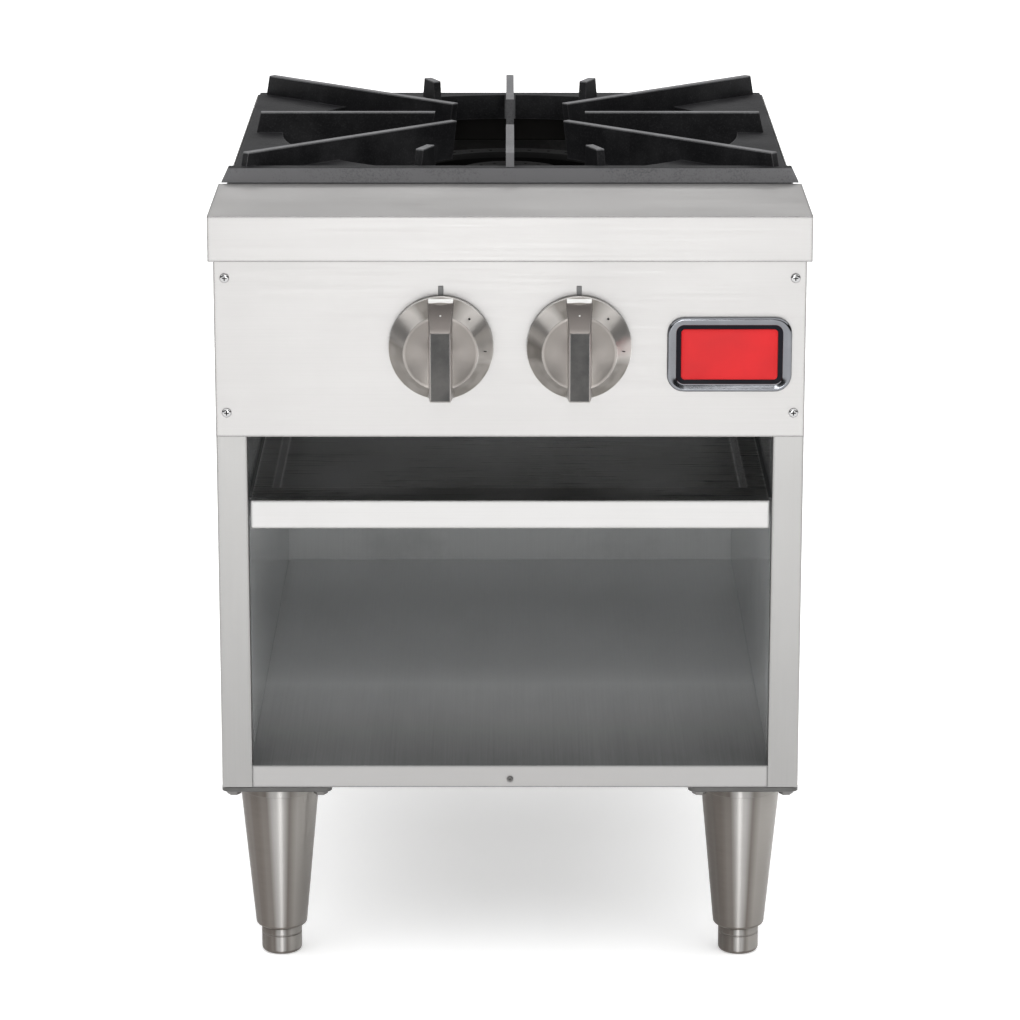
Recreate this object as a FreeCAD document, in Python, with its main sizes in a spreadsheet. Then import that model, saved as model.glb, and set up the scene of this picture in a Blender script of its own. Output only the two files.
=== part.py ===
"""Free-standing single-burner stock pot range, as a parametric FreeCAD document.

Millimetres. X runs to the right, Y to the back and Z up. The origin is on the floor,
under the middle of the whole object, from the knobs in front to the gas inlet behind.
"""
import FreeCAD, Part
import Sketcher
import os
import re

# Driving dimensions, in millimetres or degrees, grouped by what they shape.
SIZES = {
    # whole object
    "body_width": 450, "body_depth": 610, "leg_height": 150, "cabinet_height": 456, "sheet": 1.2,
    # top cap and control panel
    "cap_width": 457.2, "cap_depth": 135, "cap_drop": 35, "cap_step": 8, "panel_setback": 8,
    "panel_height": 138, "panel_flange": 20,
    # cabinet
    "post_width": 23.5, "post_return": 15, "back_flange": 20, "base_rail_height": 18,
    "channel_depth": 80, "channel_wall": 2, "liner_top_gap": 30,
    "top_rail_width": 28, "top_rail_drop": 22, "deck_depth": 64, "deck_drop": 30,
    "louvre_length": 56, "louvre_width": 7, "louvre_pitch": 76, "louvre_gap": 10,
    "baffle_setback": 84,
    # crumb tray
    "tray_gap": 51, "tray_lip_height": 22, "tray_half_width": 199.5, "tray_rim": 39,
    "tray_side_rim": 14, "tray_depth": 26, "tray_length": 540, "tray_lip_hem": 8,
    "slide_clearance": 0.3, "tray_rail_width": 9, "tray_rail_height": 16,
    # knobs and gas valves
    "knob_spacing": 105, "knob_drop": 67, "knob_radius": 40, "knob_face_radius": 28.5,
    "knob_rise": 23, "knob_skirt": 5, "knob_gap": 2.5, "grip_width": 15, "grip_rise": 40,
    "grip_root": 38, "grip_top": 20, "grip_bottom": 34, "stem_radius": 4, "stem_clearance": 0.05,
    "stem_hole": 7, "stem_start": 16, "mark_width": 4, "mark_height": 8, "mark_gap": 1,
    "mark_thickness": 0.8, "valve_radius": 12, "valve_length": 34, "valve_start": 14, "valve_neck": 7,
    # badge and fasteners
    "badge_width": 95, "badge_height": 58, "badge_corner": 13, "badge_rise": 4, "badge_x": 167,
    "badge_drop": 73, "plate_width": 75, "plate_height": 40.5, "plate_corner": 5, "plate_sink": 1.6,
    "screw_head": 3.7, "screw_shoulder": 3, "screw_shoulder_rise": 1.4, "screw_face": 1.5,
    "screw_rise": 1.9, "screw_hole": 2, "screw_x": 216.5, "screw_top_drop": 14,
    "screw_bottom_rise": 19, "base_screw_rise": 7,
    # gas train
    "pipe_radius": 13.3, "pipe_bore": 10.5, "manifold_drop": 40, "manifold_setback": 40,
    "manifold_overhang": 30, "end_cap_length": 22.5, "end_cap_wall": 9, "supply_x": 184,
    "inlet_reach": 34.5, "fitting_wall": 4.5, "coupling_length": 36, "inlet_neck": 13,
    "elbow_bend": 20, "orifice_radius": 7, "orifice_length": 20, "orifice_bore": 1.2,
    # burners
    "burner_setback": 335, "burner_top_drop": 26, "ring_height": 24, "ring_width": 26,
    "outer_ring_radius": 95, "inner_ring_radius": 34, "ring_wall": 4, "port_radius": 1.6,
    "venturi_radius": 17, "venturi_bore": 13, "venturi_mouth": 104, "neck_radius": 11,
    "shutter_radius": 22, "shutter_thickness": 2, "shutter_gap": 3.6, "jet_hole": 4.4,
    "air_hole": 3.5, "air_hole_reach": 13.6, "outer_ports": 36, "inner_ports": 16,
    "support_width": 22, "support_wall": 2.5, "support_spread": 34,
    "pilot_radius": 3, "pilot_bend": 14, "pilot_valve_radius": 6, "pilot_valve_length": 15,
    "pilot_tip_radius": 5.4, "pilot_tip_length": 15, "pilot_tip_drop": 18,
    # grate
    "grate_width": 440, "grate_depth": 402, "grate_plate": 14, "grate_draft": 8, "hole_radius": 188,
    "hole_wall": 6, "hole_skirt": 21, "lip_width": 453, "lip_top_width": 442, "lip_height": 11.5,
    "lip_depth": 12, "fin_rise": 17, "fin_width": 6.5, "fin_inner": 62, "fin_side_reach": 206,
    "fin_end_reach": 192, "fin_corner_reach": 281, "fin_corner_angle": 42.5, "fin_root": 31,
    "fin_lean": 5, "stub_inner": 168, "stub_outer": 190, "stub_angle": 68, "grate_clearance": 0.5,
    # legs
    "leg_x": 182.5, "leg_front": 52, "leg_back": 558, "leg_plate": 86, "leg_plate_wall": 4,
    "leg_top_radius": 38, "leg_upper_radius": 30.5, "leg_lower_radius": 20.3, "leg_bottom": 22.5,
    "leg_shoulder": 8, "leg_wall": 2, "leg_insert": 24,
    "foot_radius": 16, "foot_stem_radius": 8, "foot_stem_length": 42, "foot_clearance": 0.1,
    "foot_edge": 2.5, "leg_bolt_reach": 34, "leg_bolt_head": 6.5, "leg_bolt_rise": 4,
}

# Places worked out from the driving dimensions, as expressions.
TOP = "(leg_height + cabinet_height)"
SIDE_TOP = f"({TOP} - cap_step)"
FRONT = "(-body_depth / 2)"
BACK = "(body_depth / 2)"
PANEL = f"({FRONT} + panel_setback)"
POST = f"({PANEL} + sheet)"
PANEL_TOP = f"({TOP} - cap_drop)"
PANEL_BOTTOM = f"({PANEL_TOP} - panel_height)"
FLOOR = "(leg_height + base_rail_height)"
HALF = "(body_width / 2)"
OPENING = f"({HALF} - post_width)"
LINER = f"({OPENING} + sheet)"
BACK_WALL = f"({BACK} - 2 * sheet)"
TRAY_TOP = f"({PANEL_BOTTOM} - tray_gap)"
KNOB_Z = f"({PANEL_TOP} - knob_drop)"
KNOB_X = "(knob_spacing / 2)"
KNOB_BACK = f"({PANEL} - knob_gap)"
MANIFOLD_Z = f"({KNOB_Z} - manifold_drop)"
MANIFOLD_Y = f"({PANEL} + manifold_setback)"
BURNER_Y = f"({FRONT} + burner_setback)"
BURNER_TOP = f"({TOP} - burner_top_drop)"
GRATE_TOP = f"({SIDE_TOP} + grate_plate)"
GRATE_FRONT = f"({FRONT} + cap_depth + grate_clearance)"
FIN_TOP = f"({GRATE_TOP} + fin_rise)"
MANIFOLD_END = f"({KNOB_X} + manifold_overhang)"

# A hole's cutter starts one sheet in front of a sheet and goes this far, well past its back.
THROUGH = "(4 * sheet)"

doc = FreeCAD.newDocument("StockPotRange")
sheet = doc.addObject("Spreadsheet::Sheet", "Sizes")
nodes = []

AXES = {
    "x": FreeCAD.Rotation(FreeCAD.Vector(0, 1, 0), 90),
    "y": FreeCAD.Rotation(FreeCAD.Vector(1, 0, 0), -90),
    "-y": FreeCAD.Rotation(FreeCAD.Vector(1, 0, 0), 90),
    "z": FreeCAD.Rotation(),
}


def fill_sheet():
    """Write one row per driving dimension: its name, and its value with that name as alias."""
    for row, (alias, number) in enumerate(SIZES.items(), start=1):
        sheet.set(f"A{row}", alias)
        sheet.set(f"B{row}", str(number))
        sheet.setAlias(f"B{row}", alias)
    doc.recompute()


def on_sheet(expression):
    """Point each size's name in an expression at its cell in the sheet."""
    return re.sub(r"[a-z]\w+", lambda word: "Sizes." + word[0] if word[0] in SIZES else word[0],
                  str(expression))


def bind(item, prop, expression):
    """Bind one property to an expression of the sizes."""
    item.setExpression(prop, on_sheet(expression))


def value(expression):
    """Work out an expression of the sizes as a number."""
    result = sheet.evalExpression(on_sheet(expression))
    return float(getattr(result, "Value", result))


def keep(item, label):
    """Name a finished sub-part and put it on the list of parts to write."""
    item.Label = label
    nodes.append(item)
    return item


def place(item, x="0", y="0", z="0", turn=None):
    """Bind an object's place to expressions, after setting its turn."""
    item.Placement = FreeCAD.Placement(FreeCAD.Vector(0, 0, 0), turn or FreeCAD.Rotation())
    for axis, expression in zip("xyz", (x, y, z)):
        bind(item, f".Placement.Base.{axis}", expression)
    return item


def box(low, high):
    """A box between two corners."""
    item = doc.addObject("Part::Box", "Box")
    for prop, start, end in zip(("Length", "Width", "Height"), low, high):
        bind(item, prop, f"({end}) - ({start})")
    return place(item, *low)


def rod(start, radius, length, axis="z"):
    """A cylinder from a point along an axis."""
    item = doc.addObject("Part::Cylinder", "Rod")
    bind(item, "Radius", radius)
    bind(item, "Height", length)
    return place(item, *start, turn=AXES[axis])


def bend(centre, bend_radius, radius, turn):
    """A quarter of a round ring, turned into place about its centre."""
    item = doc.addObject("Part::Torus", "Bend")
    item.Angle3 = 90
    bind(item, "Radius1", bend_radius)
    bind(item, "Radius2", radius)
    return place(item, *centre, turn=turn)


def fuse(*items):
    """Several solids made into one."""
    item = doc.addObject("Part::MultiFuse", "Union")
    item.Shapes = list(items)
    item.Refine = True
    return item


def cut(base, *tools):
    """A solid with other solids taken out of it."""
    item = doc.addObject("Part::Cut", "Difference")
    item.Base = base
    item.Tool = fuse(*tools) if len(tools) > 1 else tools[0]
    return item


def group(*items):
    """Separate solids kept together as one sub-part."""
    item = doc.addObject("Part::Compound", "Group")
    item.Links = list(items)
    return item


def sketch_on(body, role, points, offset="0"):
    """A closed polygon on one of a body's origin planes, each corner bound to expressions."""
    plane = next(item for item in body.Origin.OriginFeatures if item.Role == role)
    sketch = body.newObject("Sketcher::SketchObject", "Outline")
    sketch.AttachmentSupport = (plane, [""])
    sketch.MapMode = "FlatFace"
    bind(sketch, ".AttachmentOffset.Base.z", offset)
    corners = [FreeCAD.Vector(value(x), value(y), 0) for x, y in points]
    for index, corner in enumerate(corners):
        sketch.addGeometry(Part.LineSegment(corner, corners[(index + 1) % len(corners)]), False)
    for index, (corner, (x, y)) in enumerate(zip(corners, points)):
        before = (index - 1) % len(corners)
        sketch.addConstraint(Sketcher.Constraint("Coincident", before, 2, index, 1))
        for kind, size, expression in (("DistanceX", corner.x, x), ("DistanceY", corner.y, y)):
            number = sketch.addConstraint(Sketcher.Constraint(kind, -1, 1, index, 1, size))
            bind(sketch, f"Constraints[{number}]", expression)
    return sketch


def extruded(role, points, start, length, both_ways=False, taper="0"):
    """A body padded from a polygon, along its plane's normal from a given offset."""
    body = doc.addObject("PartDesign::Body", "Body")
    pad = body.newObject("PartDesign::Pad", "Pad")
    pad.Profile = sketch_on(body, role, points, start)
    bind(pad, "Length", length)
    pad.SideType = "Symmetric" if both_ways else "One side"
    bind(pad, "TaperAngle", taper)
    doc.recompute()
    return body


def turned(points, x="0", y="0", z="0", axis="z"):
    """A body of revolution from radius and height pairs, with its own axis along one axis."""
    body = doc.addObject("PartDesign::Body", "Body")
    sketch = sketch_on(body, "XZ_Plane", points)
    spin = body.newObject("PartDesign::Revolution", "Revolution")
    spin.Profile = sketch
    spin.ReferenceAxis = (sketch, ["V_Axis"])
    spin.Angle = 360
    doc.recompute()
    return place(body, x, y, z, turn=AXES[axis])


def rounded(body, radius, wanted):
    """Fillet the edges of a body's newest feature that a test picks out."""
    tip = body.Tip
    names = [f"Edge{number}" for number, edge in enumerate(tip.Shape.Edges, start=1) if wanted(edge)]
    fillet = body.newObject("PartDesign::Fillet", "Fillet")
    fillet.Base = (tip, names)
    bind(fillet, "Radius", radius)
    doc.recompute()
    return body


def along(axis):
    """A test for straight edges that run along one axis."""
    def test(edge):
        run = edge.Vertexes[-1].Point - edge.Vertexes[0].Point
        return run.Length > 0 and abs(getattr(run, axis)) > 0.999 * run.Length
    return test


def rounded_plate(width, height, corner, x, z, front, thickness):
    """An upright plate with round corners, its back towards the control panel."""
    half, tall = f"({width}) / 2", f"({height}) / 2"
    points = [(f"{x} - {half}", f"{z} - {tall}"), (f"{x} + {half}", f"{z} - {tall}"),
              (f"{x} + {half}", f"{z} + {tall}"), (f"{x} - {half}", f"{z} + {tall}")]
    body = extruded("XZ_Plane", points, f"-({front}) - ({thickness})", thickness)
    return rounded(body, corner, along("y"))


def sides():
    """Each hand's name and the sign of its X."""
    return (("left", -1), ("right", 1))


def between(sign, inner, outer):
    """The low and high X of a span on one side of the middle."""
    ends = (f"{sign} * ({inner})", f"{sign} * ({outer})")
    return ends if sign > 0 else ends[::-1]


# ---- cabinet ---------------------------------------------------------------------------

def side_panel(hand, sign):
    """Outer side skin, folded in at the front as the post and at the back as a flange."""
    outline = [(OPENING, POST), (HALF, POST), (HALF, BACK), (f"{HALF} - back_flange", BACK),
               (f"{HALF} - back_flange", f"{BACK} - sheet"), (f"{HALF} - sheet", f"{BACK} - sheet"),
               (f"{HALF} - sheet", f"{POST} + sheet"), (LINER, f"{POST} + sheet"),
               (LINER, f"{POST} + post_return"), (OPENING, f"{POST} + post_return")]
    points = [(f"{sign} * ({x})", y) for x, y in outline]
    skin = extruded("XY_Plane", points, "leg_height", f"{SIDE_TOP} - leg_height")
    keep(skin, f"{hand}_side_panel")


def side_liner(hand, sign):
    """Inner wall of the cabinet and of the burner chamber."""
    low, high = between(sign, LINER, f"{LINER} + sheet")
    keep(box((low, f"{POST} + sheet", "leg_height"),
             (high, BACK_WALL, f"{SIDE_TOP} - liner_top_gap")), f"{hand}_side_liner")


def base_panel():
    """Cabinet floor with its front rail folded down and under."""
    front = box((f"-{OPENING}", POST, f"{FLOOR} - sheet"), (OPENING, f"{POST} + post_return", FLOOR))
    floor = box((f"-{LINER}", f"{POST} + post_return", f"{FLOOR} - sheet"), (LINER, BACK_WALL, FLOOR))
    rail = box((f"-{OPENING}", POST, "leg_height"), (OPENING, f"{POST} + sheet", FLOOR))
    screw_hole = rod(("0", f"{POST} - sheet", "leg_height + base_screw_rise"), "screw_hole", THROUGH, "y")
    keep(cut(fuse(front, floor, rail), screw_hole), "base_panel")


def leg_channel(name, setback):
    """Folded channel across the bottom that the legs bolt to."""
    middle = f"({FRONT} + {setback})"
    front, back = f"({middle} - channel_depth / 2)", f"({middle} + channel_depth / 2)"
    web = box((f"-{OPENING}", front, "leg_height"), (OPENING, back, "leg_height + channel_wall"))
    lips = [box((f"-{OPENING}", low, "leg_height"), (OPENING, high, f"{FLOOR} - sheet"))
            for low, high in ((front, f"{front} + channel_wall"), (f"{back} - channel_wall", back))]
    keep(fuse(web, *lips), name)


def back_panel():
    """Back sheet, with a hole that the gas inlet pipe leaves through."""
    skin = box((f"-{HALF} + 2 * sheet", BACK_WALL, "leg_height + channel_wall"),
               (f"{HALF} - 2 * sheet", f"{BACK} - sheet", f"{SIDE_TOP} - sheet"))
    hole = rod(("supply_x", f"{BACK_WALL} - sheet", MANIFOLD_Z), "pipe_radius + fitting_wall + sheet",
               THROUGH, "y")
    keep(cut(skin, hole), "back_panel")


def top_cap():
    """Landing ledge: one sheet folded over the front of the body, with closed ends."""
    half = "(cap_width / 2)"
    outer = box((f"-{half}", FRONT, PANEL_TOP), (half, f"{FRONT} + cap_depth", TOP))
    inner = box((f"-{half} + sheet", f"{FRONT} + sheet", f"{PANEL_TOP} - sheet"),
                (f"{half} - sheet", f"{FRONT} + cap_depth - sheet", f"{TOP} - sheet"))
    over_sides = box((f"-{half} + sheet", f"{FRONT} + cap_depth - 2 * sheet", f"{PANEL_TOP} - sheet"),
                     (f"{half} - sheet", f"{FRONT} + cap_depth + sheet", SIDE_TOP))
    hem = box((f"-{half} + sheet", f"{FRONT} + sheet", PANEL_TOP),
              (f"{half} - sheet", PANEL, f"{PANEL_TOP} + sheet"))
    keep(fuse(cut(outer, inner, over_sides), hem), "top_cap")


def control_panel():
    """Front panel with a hole for each valve stem, folded back along its top and bottom."""
    face = box((f"-{HALF}", PANEL, PANEL_BOTTOM), (HALF, POST, PANEL_TOP))
    flanges = [box((f"-{OPENING}", POST, low), (OPENING, f"{POST} + panel_flange", high))
               for low, high in ((PANEL_BOTTOM, f"{PANEL_BOTTOM} + sheet"),
                                 (f"{PANEL_TOP} - sheet", PANEL_TOP))]
    holes = [rod((f"{sign} * {KNOB_X}", f"{PANEL} - sheet", KNOB_Z), "stem_hole", THROUGH, "y")
             for _, sign in sides()]
    keep(cut(fuse(face, *flanges), *holes), "control_panel")


def valve_baffle():
    """Upright heat shield between the gas valves and the burner chamber."""
    front = f"({FRONT} + baffle_setback)"
    start = f"{front} - sheet"
    skin = box((f"-{LINER}", front, PANEL_BOTTOM), (LINER, f"{front} + sheet", f"{SIDE_TOP} - 2 * sheet"))
    venturis = [rod((f"{sign} * {KNOB_X}", start, KNOB_Z), "shutter_radius + shutter_gap", THROUGH, "y")
                for _, sign in sides()]
    supply = rod(("supply_x", start, MANIFOLD_Z), "pipe_radius + sheet", THROUGH, "y")
    pilot = rod(("0", start, MANIFOLD_Z), "pilot_valve_radius + pilot_radius", THROUGH, "y")
    keep(cut(skin, *venturis, supply, pilot), "valve_baffle")


def top_rail(hand, sign):
    """Angle along the top of a side, which the grate's edge rests on."""
    outer, inner = f"({HALF} - sheet)", f"({HALF} - sheet - top_rail_width)"
    front, back = f"({FRONT} + cap_depth)", f"({BACK} - deck_depth)"
    low, high = between(sign, inner, outer)
    shelf = box((low, front, f"{SIDE_TOP} - support_wall"), (high, back, SIDE_TOP))
    low, high = between(sign, inner, f"{inner} + support_wall")
    wing = box((low, front, f"{SIDE_TOP} - top_rail_drop"), (high, back, f"{SIDE_TOP} - support_wall"))
    keep(fuse(shelf, wing), f"{hand}_top_rail")


def rear_deck():
    """Flue cover behind the grate, with a row of slots for the hot air."""
    half, front = f"({HALF} - sheet)", f"({BACK} - deck_depth)"
    top = box((f"-{half}", front, f"{SIDE_TOP} - sheet"), (half, f"{BACK} - sheet", SIDE_TOP))
    apron = box((f"-{LINER}", front, f"{SIDE_TOP} - deck_drop"), (LINER, f"{front} + sheet", SIDE_TOP))
    middle = f"({BACK} - deck_depth / 2)"
    rows = (f"{middle} - louvre_gap / 2 - louvre_width", f"{middle} + louvre_gap / 2")
    slots = [box((f"{step} * louvre_pitch - louvre_length / 2", row, f"{SIDE_TOP} - 2 * sheet"),
                 (f"{step} * louvre_pitch + louvre_length / 2", f"{row} + louvre_width",
                  f"{SIDE_TOP} + sheet"))
             for step in (-2, -1, 0, 1, 2) for row in rows]
    keep(cut(fuse(top, apron), *slots), "rear_deck")


def tray_rail(hand, sign):
    """Angle on the cabinet's inner wall that carries the crumb tray's rim."""
    top = f"({TRAY_TOP} - sheet - slide_clearance)"
    front, back = f"({POST} + post_return + sheet)", f"({FRONT} + tray_length)"
    low, high = between(sign, f"{LINER} - tray_rail_width", LINER)
    shelf = box((low, front, f"{top} - sheet"), (high, back, top))
    low, high = between(sign, f"{LINER} - sheet", LINER)
    wall = box((low, front, f"{top} - tray_rail_height"), (high, back, f"{top} - sheet"))
    keep(fuse(shelf, wall), f"{hand}_tray_rail")


# ---- crumb tray ------------------------------------------------------------------------

def crumb_tray():
    """Pan with a flat rim, wide along the front, that hangs on the two rails."""
    rim_low = f"({TRAY_TOP} - sheet)"
    bottom = f"({TRAY_TOP} - tray_depth)"
    front, back = f"({POST} + sheet)", f"({FRONT} + tray_length)"
    reach, wall = "tray_half_width", "(tray_half_width - tray_side_rim)"
    rim = box((f"-{reach}", front, rim_low), (reach, back, TRAY_TOP))
    pan = box((f"-{wall}", f"{front} + tray_rim", bottom), (wall, f"{back} - tray_side_rim", rim_low))
    hollow = box((f"-{wall} + sheet", f"{front} + tray_rim + sheet", f"{bottom} + sheet"),
                 (f"{wall} - sheet", f"{back} - tray_side_rim - sheet", f"{TRAY_TOP} + sheet"))
    keep(cut(fuse(rim, pan), hollow), "crumb_tray")


def crumb_tray_front():
    """Front lip of the tray, which is also its pull, with a hem folded back along the bottom."""
    face = box(("-tray_half_width", POST, f"{TRAY_TOP} - tray_lip_height"),
               ("tray_half_width", f"{POST} + sheet", TRAY_TOP))
    hem = box(("-tray_half_width", f"{POST} + sheet", f"{TRAY_TOP} - tray_lip_height"),
              ("tray_half_width", f"{POST} + sheet + tray_lip_hem",
               f"{TRAY_TOP} - tray_lip_height + sheet"))
    keep(fuse(face, hem), "crumb_tray_front")


# ---- knobs, badge and screws -----------------------------------------------------------

def knob(hand, sign):
    """Round metal knob: a short skirt, a cone up to a flat face, and a slot for its bar grip."""
    outline = [("stem_radius", "0"), ("knob_radius", "0"), ("knob_radius", "knob_skirt"),
               ("knob_face_radius", "knob_rise"), ("stem_radius", "knob_rise")]
    dial = turned(outline, f"{sign} * {KNOB_X}", KNOB_BACK, KNOB_Z, "-y")
    keep(cut(dial, grip_bar(sign)), f"{hand}_knob")


def grip_bar(sign):
    """Bar through a knob from rim to rim, its upper end sloping out to the front."""
    root, front = f"{KNOB_BACK} - knob_skirt", f"{KNOB_BACK} - grip_rise"
    points = [(root, f"{KNOB_Z} - grip_root"), (root, f"{KNOB_Z} + grip_root"),
              (front, f"{KNOB_Z} + grip_top"), (front, f"{KNOB_Z} - grip_bottom")]
    return extruded("YZ_Plane", points, f"{sign} * {KNOB_X} - grip_width / 2", "grip_width")


def knob_grip(hand, sign):
    """Bar that the fingers turn, let into the knob."""
    keep(grip_bar(sign), f"{hand}_knob_grip")


def valve_stem(hand, sign):
    """Shaft from inside the valve, through the panel and into the knob."""
    stem = rod((f"{sign} * {KNOB_X}", f"{PANEL} + valve_start + stem_start", KNOB_Z), "stem_radius",
               "valve_start + stem_start + knob_gap + knob_skirt", "-y")
    keep(stem, f"{hand}_valve_stem")


def index_marks():
    """Small upright tick on the panel above each knob."""
    low = f"({KNOB_Z} + knob_radius - mark_gap)"
    marks = [box((f"{sign} * {KNOB_X} - mark_width / 2", f"{PANEL} - mark_thickness", low),
                 (f"{sign} * {KNOB_X} + mark_width / 2", PANEL, f"{low} + mark_height"))
             for _, sign in sides()]
    keep(group(*marks), "index_marks")


def badge():
    """Plain badge: a bezel with round corners, and a coloured plate let into it."""
    centre = f"({PANEL_TOP} - badge_drop)"
    bezel = rounded_plate("badge_width", "badge_height", "badge_corner", "badge_x", centre,
                          f"{PANEL} - badge_rise", "badge_rise")
    recess = rounded_plate("plate_width", "plate_height", "plate_corner", "badge_x", centre,
                           f"{PANEL} - badge_rise - sheet", "plate_sink + sheet")
    plate = rounded_plate("plate_width", "plate_height", "plate_corner", "badge_x", centre,
                          f"{PANEL} - badge_rise", "plate_sink")
    keep(cut(bezel, recess), "badge_bezel")
    keep(plate, "badge_plate")


def screw(x, y, z):
    """Domed head of a screw, standing out to the front from a face at y."""
    outline = [("0", "0"), ("screw_head", "0"), ("screw_shoulder", "screw_shoulder_rise"),
               ("screw_face", "screw_rise"), ("0", "screw_rise")]
    return turned(outline, x, y, z, "-y")


def panel_screws():
    """Heads of the four screws in the control panel's corners and the one in the base rail."""
    heights = (f"{PANEL_TOP} - screw_top_drop", f"{PANEL_BOTTOM} + screw_bottom_rise")
    heads = [screw(f"{sign} * screw_x", PANEL, z) for _, sign in sides() for z in heights]
    keep(group(*heads), "panel_screws")
    keep(screw("0", POST, "leg_height + base_screw_rise"), "base_screw")


# ---- gas train -------------------------------------------------------------------------

def gas_valve(hand, sign):
    """Brass valve on the manifold: a barrel in line with its stem, and a neck to the pipe."""
    x = f"{sign} * {KNOB_X}"
    barrel = rod((x, f"{PANEL} + valve_start", KNOB_Z), "valve_radius", "valve_length", "y")
    neck = rod((x, MANIFOLD_Y, f"{MANIFOLD_Z} + pipe_radius - sheet"), "valve_neck",
               "manifold_drop - pipe_radius + sheet")
    bore = rod((x, f"{PANEL} + valve_start - sheet", KNOB_Z), "stem_radius + stem_clearance",
               "stem_start + 2 * sheet", "y")
    pipe = rod(("-supply_x", MANIFOLD_Y, MANIFOLD_Z), "pipe_radius", "2 * supply_x", "x")
    keep(cut(fuse(barrel, neck), bore, pipe), f"{hand}_gas_valve")


def orifice_hood(hand, sign):
    """Brass hood on the valve's outlet, with the jet's small hole."""
    x, start = f"{sign} * {KNOB_X}", f"({PANEL} + valve_start + valve_length)"
    hood = rod((x, start, KNOB_Z), "orifice_radius", "orifice_length", "y")
    jet = rod((x, f"{start} - sheet", KNOB_Z), "orifice_bore", "orifice_length + 2 * sheet", "y")
    keep(cut(hood, jet), f"{hand}_orifice_hood")


def gas_manifold():
    """Cross pipe that feeds the valves, closed by a cap at one end."""
    length = f"(supply_x - elbow_bend + {MANIFOLD_END})"
    start = (f"-{MANIFOLD_END}", MANIFOLD_Y, MANIFOLD_Z)
    keep(cut(rod(start, "pipe_radius", length, "x"), rod(start, "pipe_bore", length, "x")), "gas_manifold")
    cap = rod((f"-{MANIFOLD_END} - end_cap_wall", MANIFOLD_Y, MANIFOLD_Z), "pipe_radius + fitting_wall",
              "end_cap_length", "x")
    socket = rod(start, "pipe_radius", "end_cap_length", "x")
    keep(cut(cap, socket), "manifold_cap")


def manifold_elbow():
    """Elbow that joins the cross pipe to the supply pipe."""
    turn = FreeCAD.Rotation(FreeCAD.Vector(0, 0, 1), -90)
    corner = ("supply_x - elbow_bend", f"{MANIFOLD_Y} + elbow_bend", MANIFOLD_Z)
    shell = bend(corner, "elbow_bend", "pipe_radius", turn)
    hollow = bend(corner, "elbow_bend", "pipe_bore", turn)
    keep(cut(shell, hollow), "manifold_elbow")


def supply_pipe():
    """Gas pipe along the side of the chamber, and the coupling and inlet it ends in at the back."""
    start = ("supply_x", f"{MANIFOLD_Y} + elbow_bend", MANIFOLD_Z)
    middle = f"({BACK} - coupling_length / 2)"
    length = f"{middle} - ({MANIFOLD_Y} + elbow_bend)"
    keep(cut(rod(start, "pipe_radius", length, "y"), rod(start, "pipe_bore", length, "y")), "supply_pipe")
    sleeve = rod(("supply_x", f"{BACK} - coupling_length", MANIFOLD_Z), "pipe_radius + fitting_wall",
                 "coupling_length", "y")
    front = rod(start, "pipe_radius", length, "y")
    rear = rod(("supply_x", middle, MANIFOLD_Z), "inlet_neck", "coupling_length", "y")
    keep(cut(sleeve, front, rear), "inlet_coupling")
    outline = [("pipe_bore", "0"), ("inlet_neck", "0"), ("inlet_neck", "coupling_length / 2"),
               ("pipe_radius", "coupling_length / 2"), ("pipe_radius", "coupling_length / 2 + inlet_reach"),
               ("pipe_bore", "coupling_length / 2 + inlet_reach")]
    keep(turned(outline, "supply_x", middle, MANIFOLD_Z, "y"), "gas_inlet")


def pilot_light():
    """Pilot valve on the manifold, its tube back and up, and its burner tip."""
    start = f"({MANIFOLD_Y} + pipe_radius)"
    reach = f"({BURNER_Y} - outer_ring_radius - ring_width)"
    tip_low = f"({BURNER_TOP} - pilot_tip_drop)"
    keep(rod(("0", start, MANIFOLD_Z), "pilot_valve_radius", "pilot_valve_length", "y"), "pilot_valve")
    from_valve = f"({start} + pilot_valve_length)"
    run = rod(("0", from_valve, MANIFOLD_Z), "pilot_radius", f"{reach} - pilot_bend - {from_valve}", "y")
    corner = bend(("0", f"{reach} - pilot_bend", f"{MANIFOLD_Z} + pilot_bend"),
                  "pilot_bend", "pilot_radius", AXES["x"])
    rise = rod(("0", reach, f"{MANIFOLD_Z} + pilot_bend"), "pilot_radius",
               f"{tip_low} - {MANIFOLD_Z} - pilot_bend")
    keep(fuse(run, corner, rise), "pilot_tube")
    tip = rod(("0", reach, tip_low), "pilot_tip_radius", "pilot_tip_length")
    keep(tip, "pilot_tip")


# ---- burners ---------------------------------------------------------------------------

def burner_ring(radius):
    """Hollow cast ring, closed on top where its ports are drilled."""
    low, high = f"{BURNER_TOP} - ring_height", BURNER_TOP
    inner, outer = f"{radius} - ring_width / 2", f"{radius} + ring_width / 2"
    shell = [(inner, low), (outer, low), (outer, f"{high} - ring_wall"), (f"{outer} - ring_wall", high),
             (f"{inner} + ring_wall", high), (inner, f"{high} - ring_wall")]
    hollow = [(f"{inner} + ring_wall", f"{low} + ring_wall"),
              (f"{outer} - ring_wall", f"{low} + ring_wall"),
              (f"{outer} - ring_wall", f"{high} - ring_wall"),
              (f"{inner} + ring_wall", f"{high} - ring_wall")]
    return turned(shell, y=BURNER_Y), turned(hollow, y=BURNER_Y)


def ports(radius, count):
    """Drilled flame ports round the top of a ring."""
    low = f"{BURNER_TOP} - ring_wall - sheet"
    angles = [360 / count * step for step in range(count)]
    return [rod((f"{radius} * cos({angle})", f"{BURNER_Y} + {radius} * sin({angle})", low),
                "port_radius", "ring_wall + 2 * sheet") for angle in angles]


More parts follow.
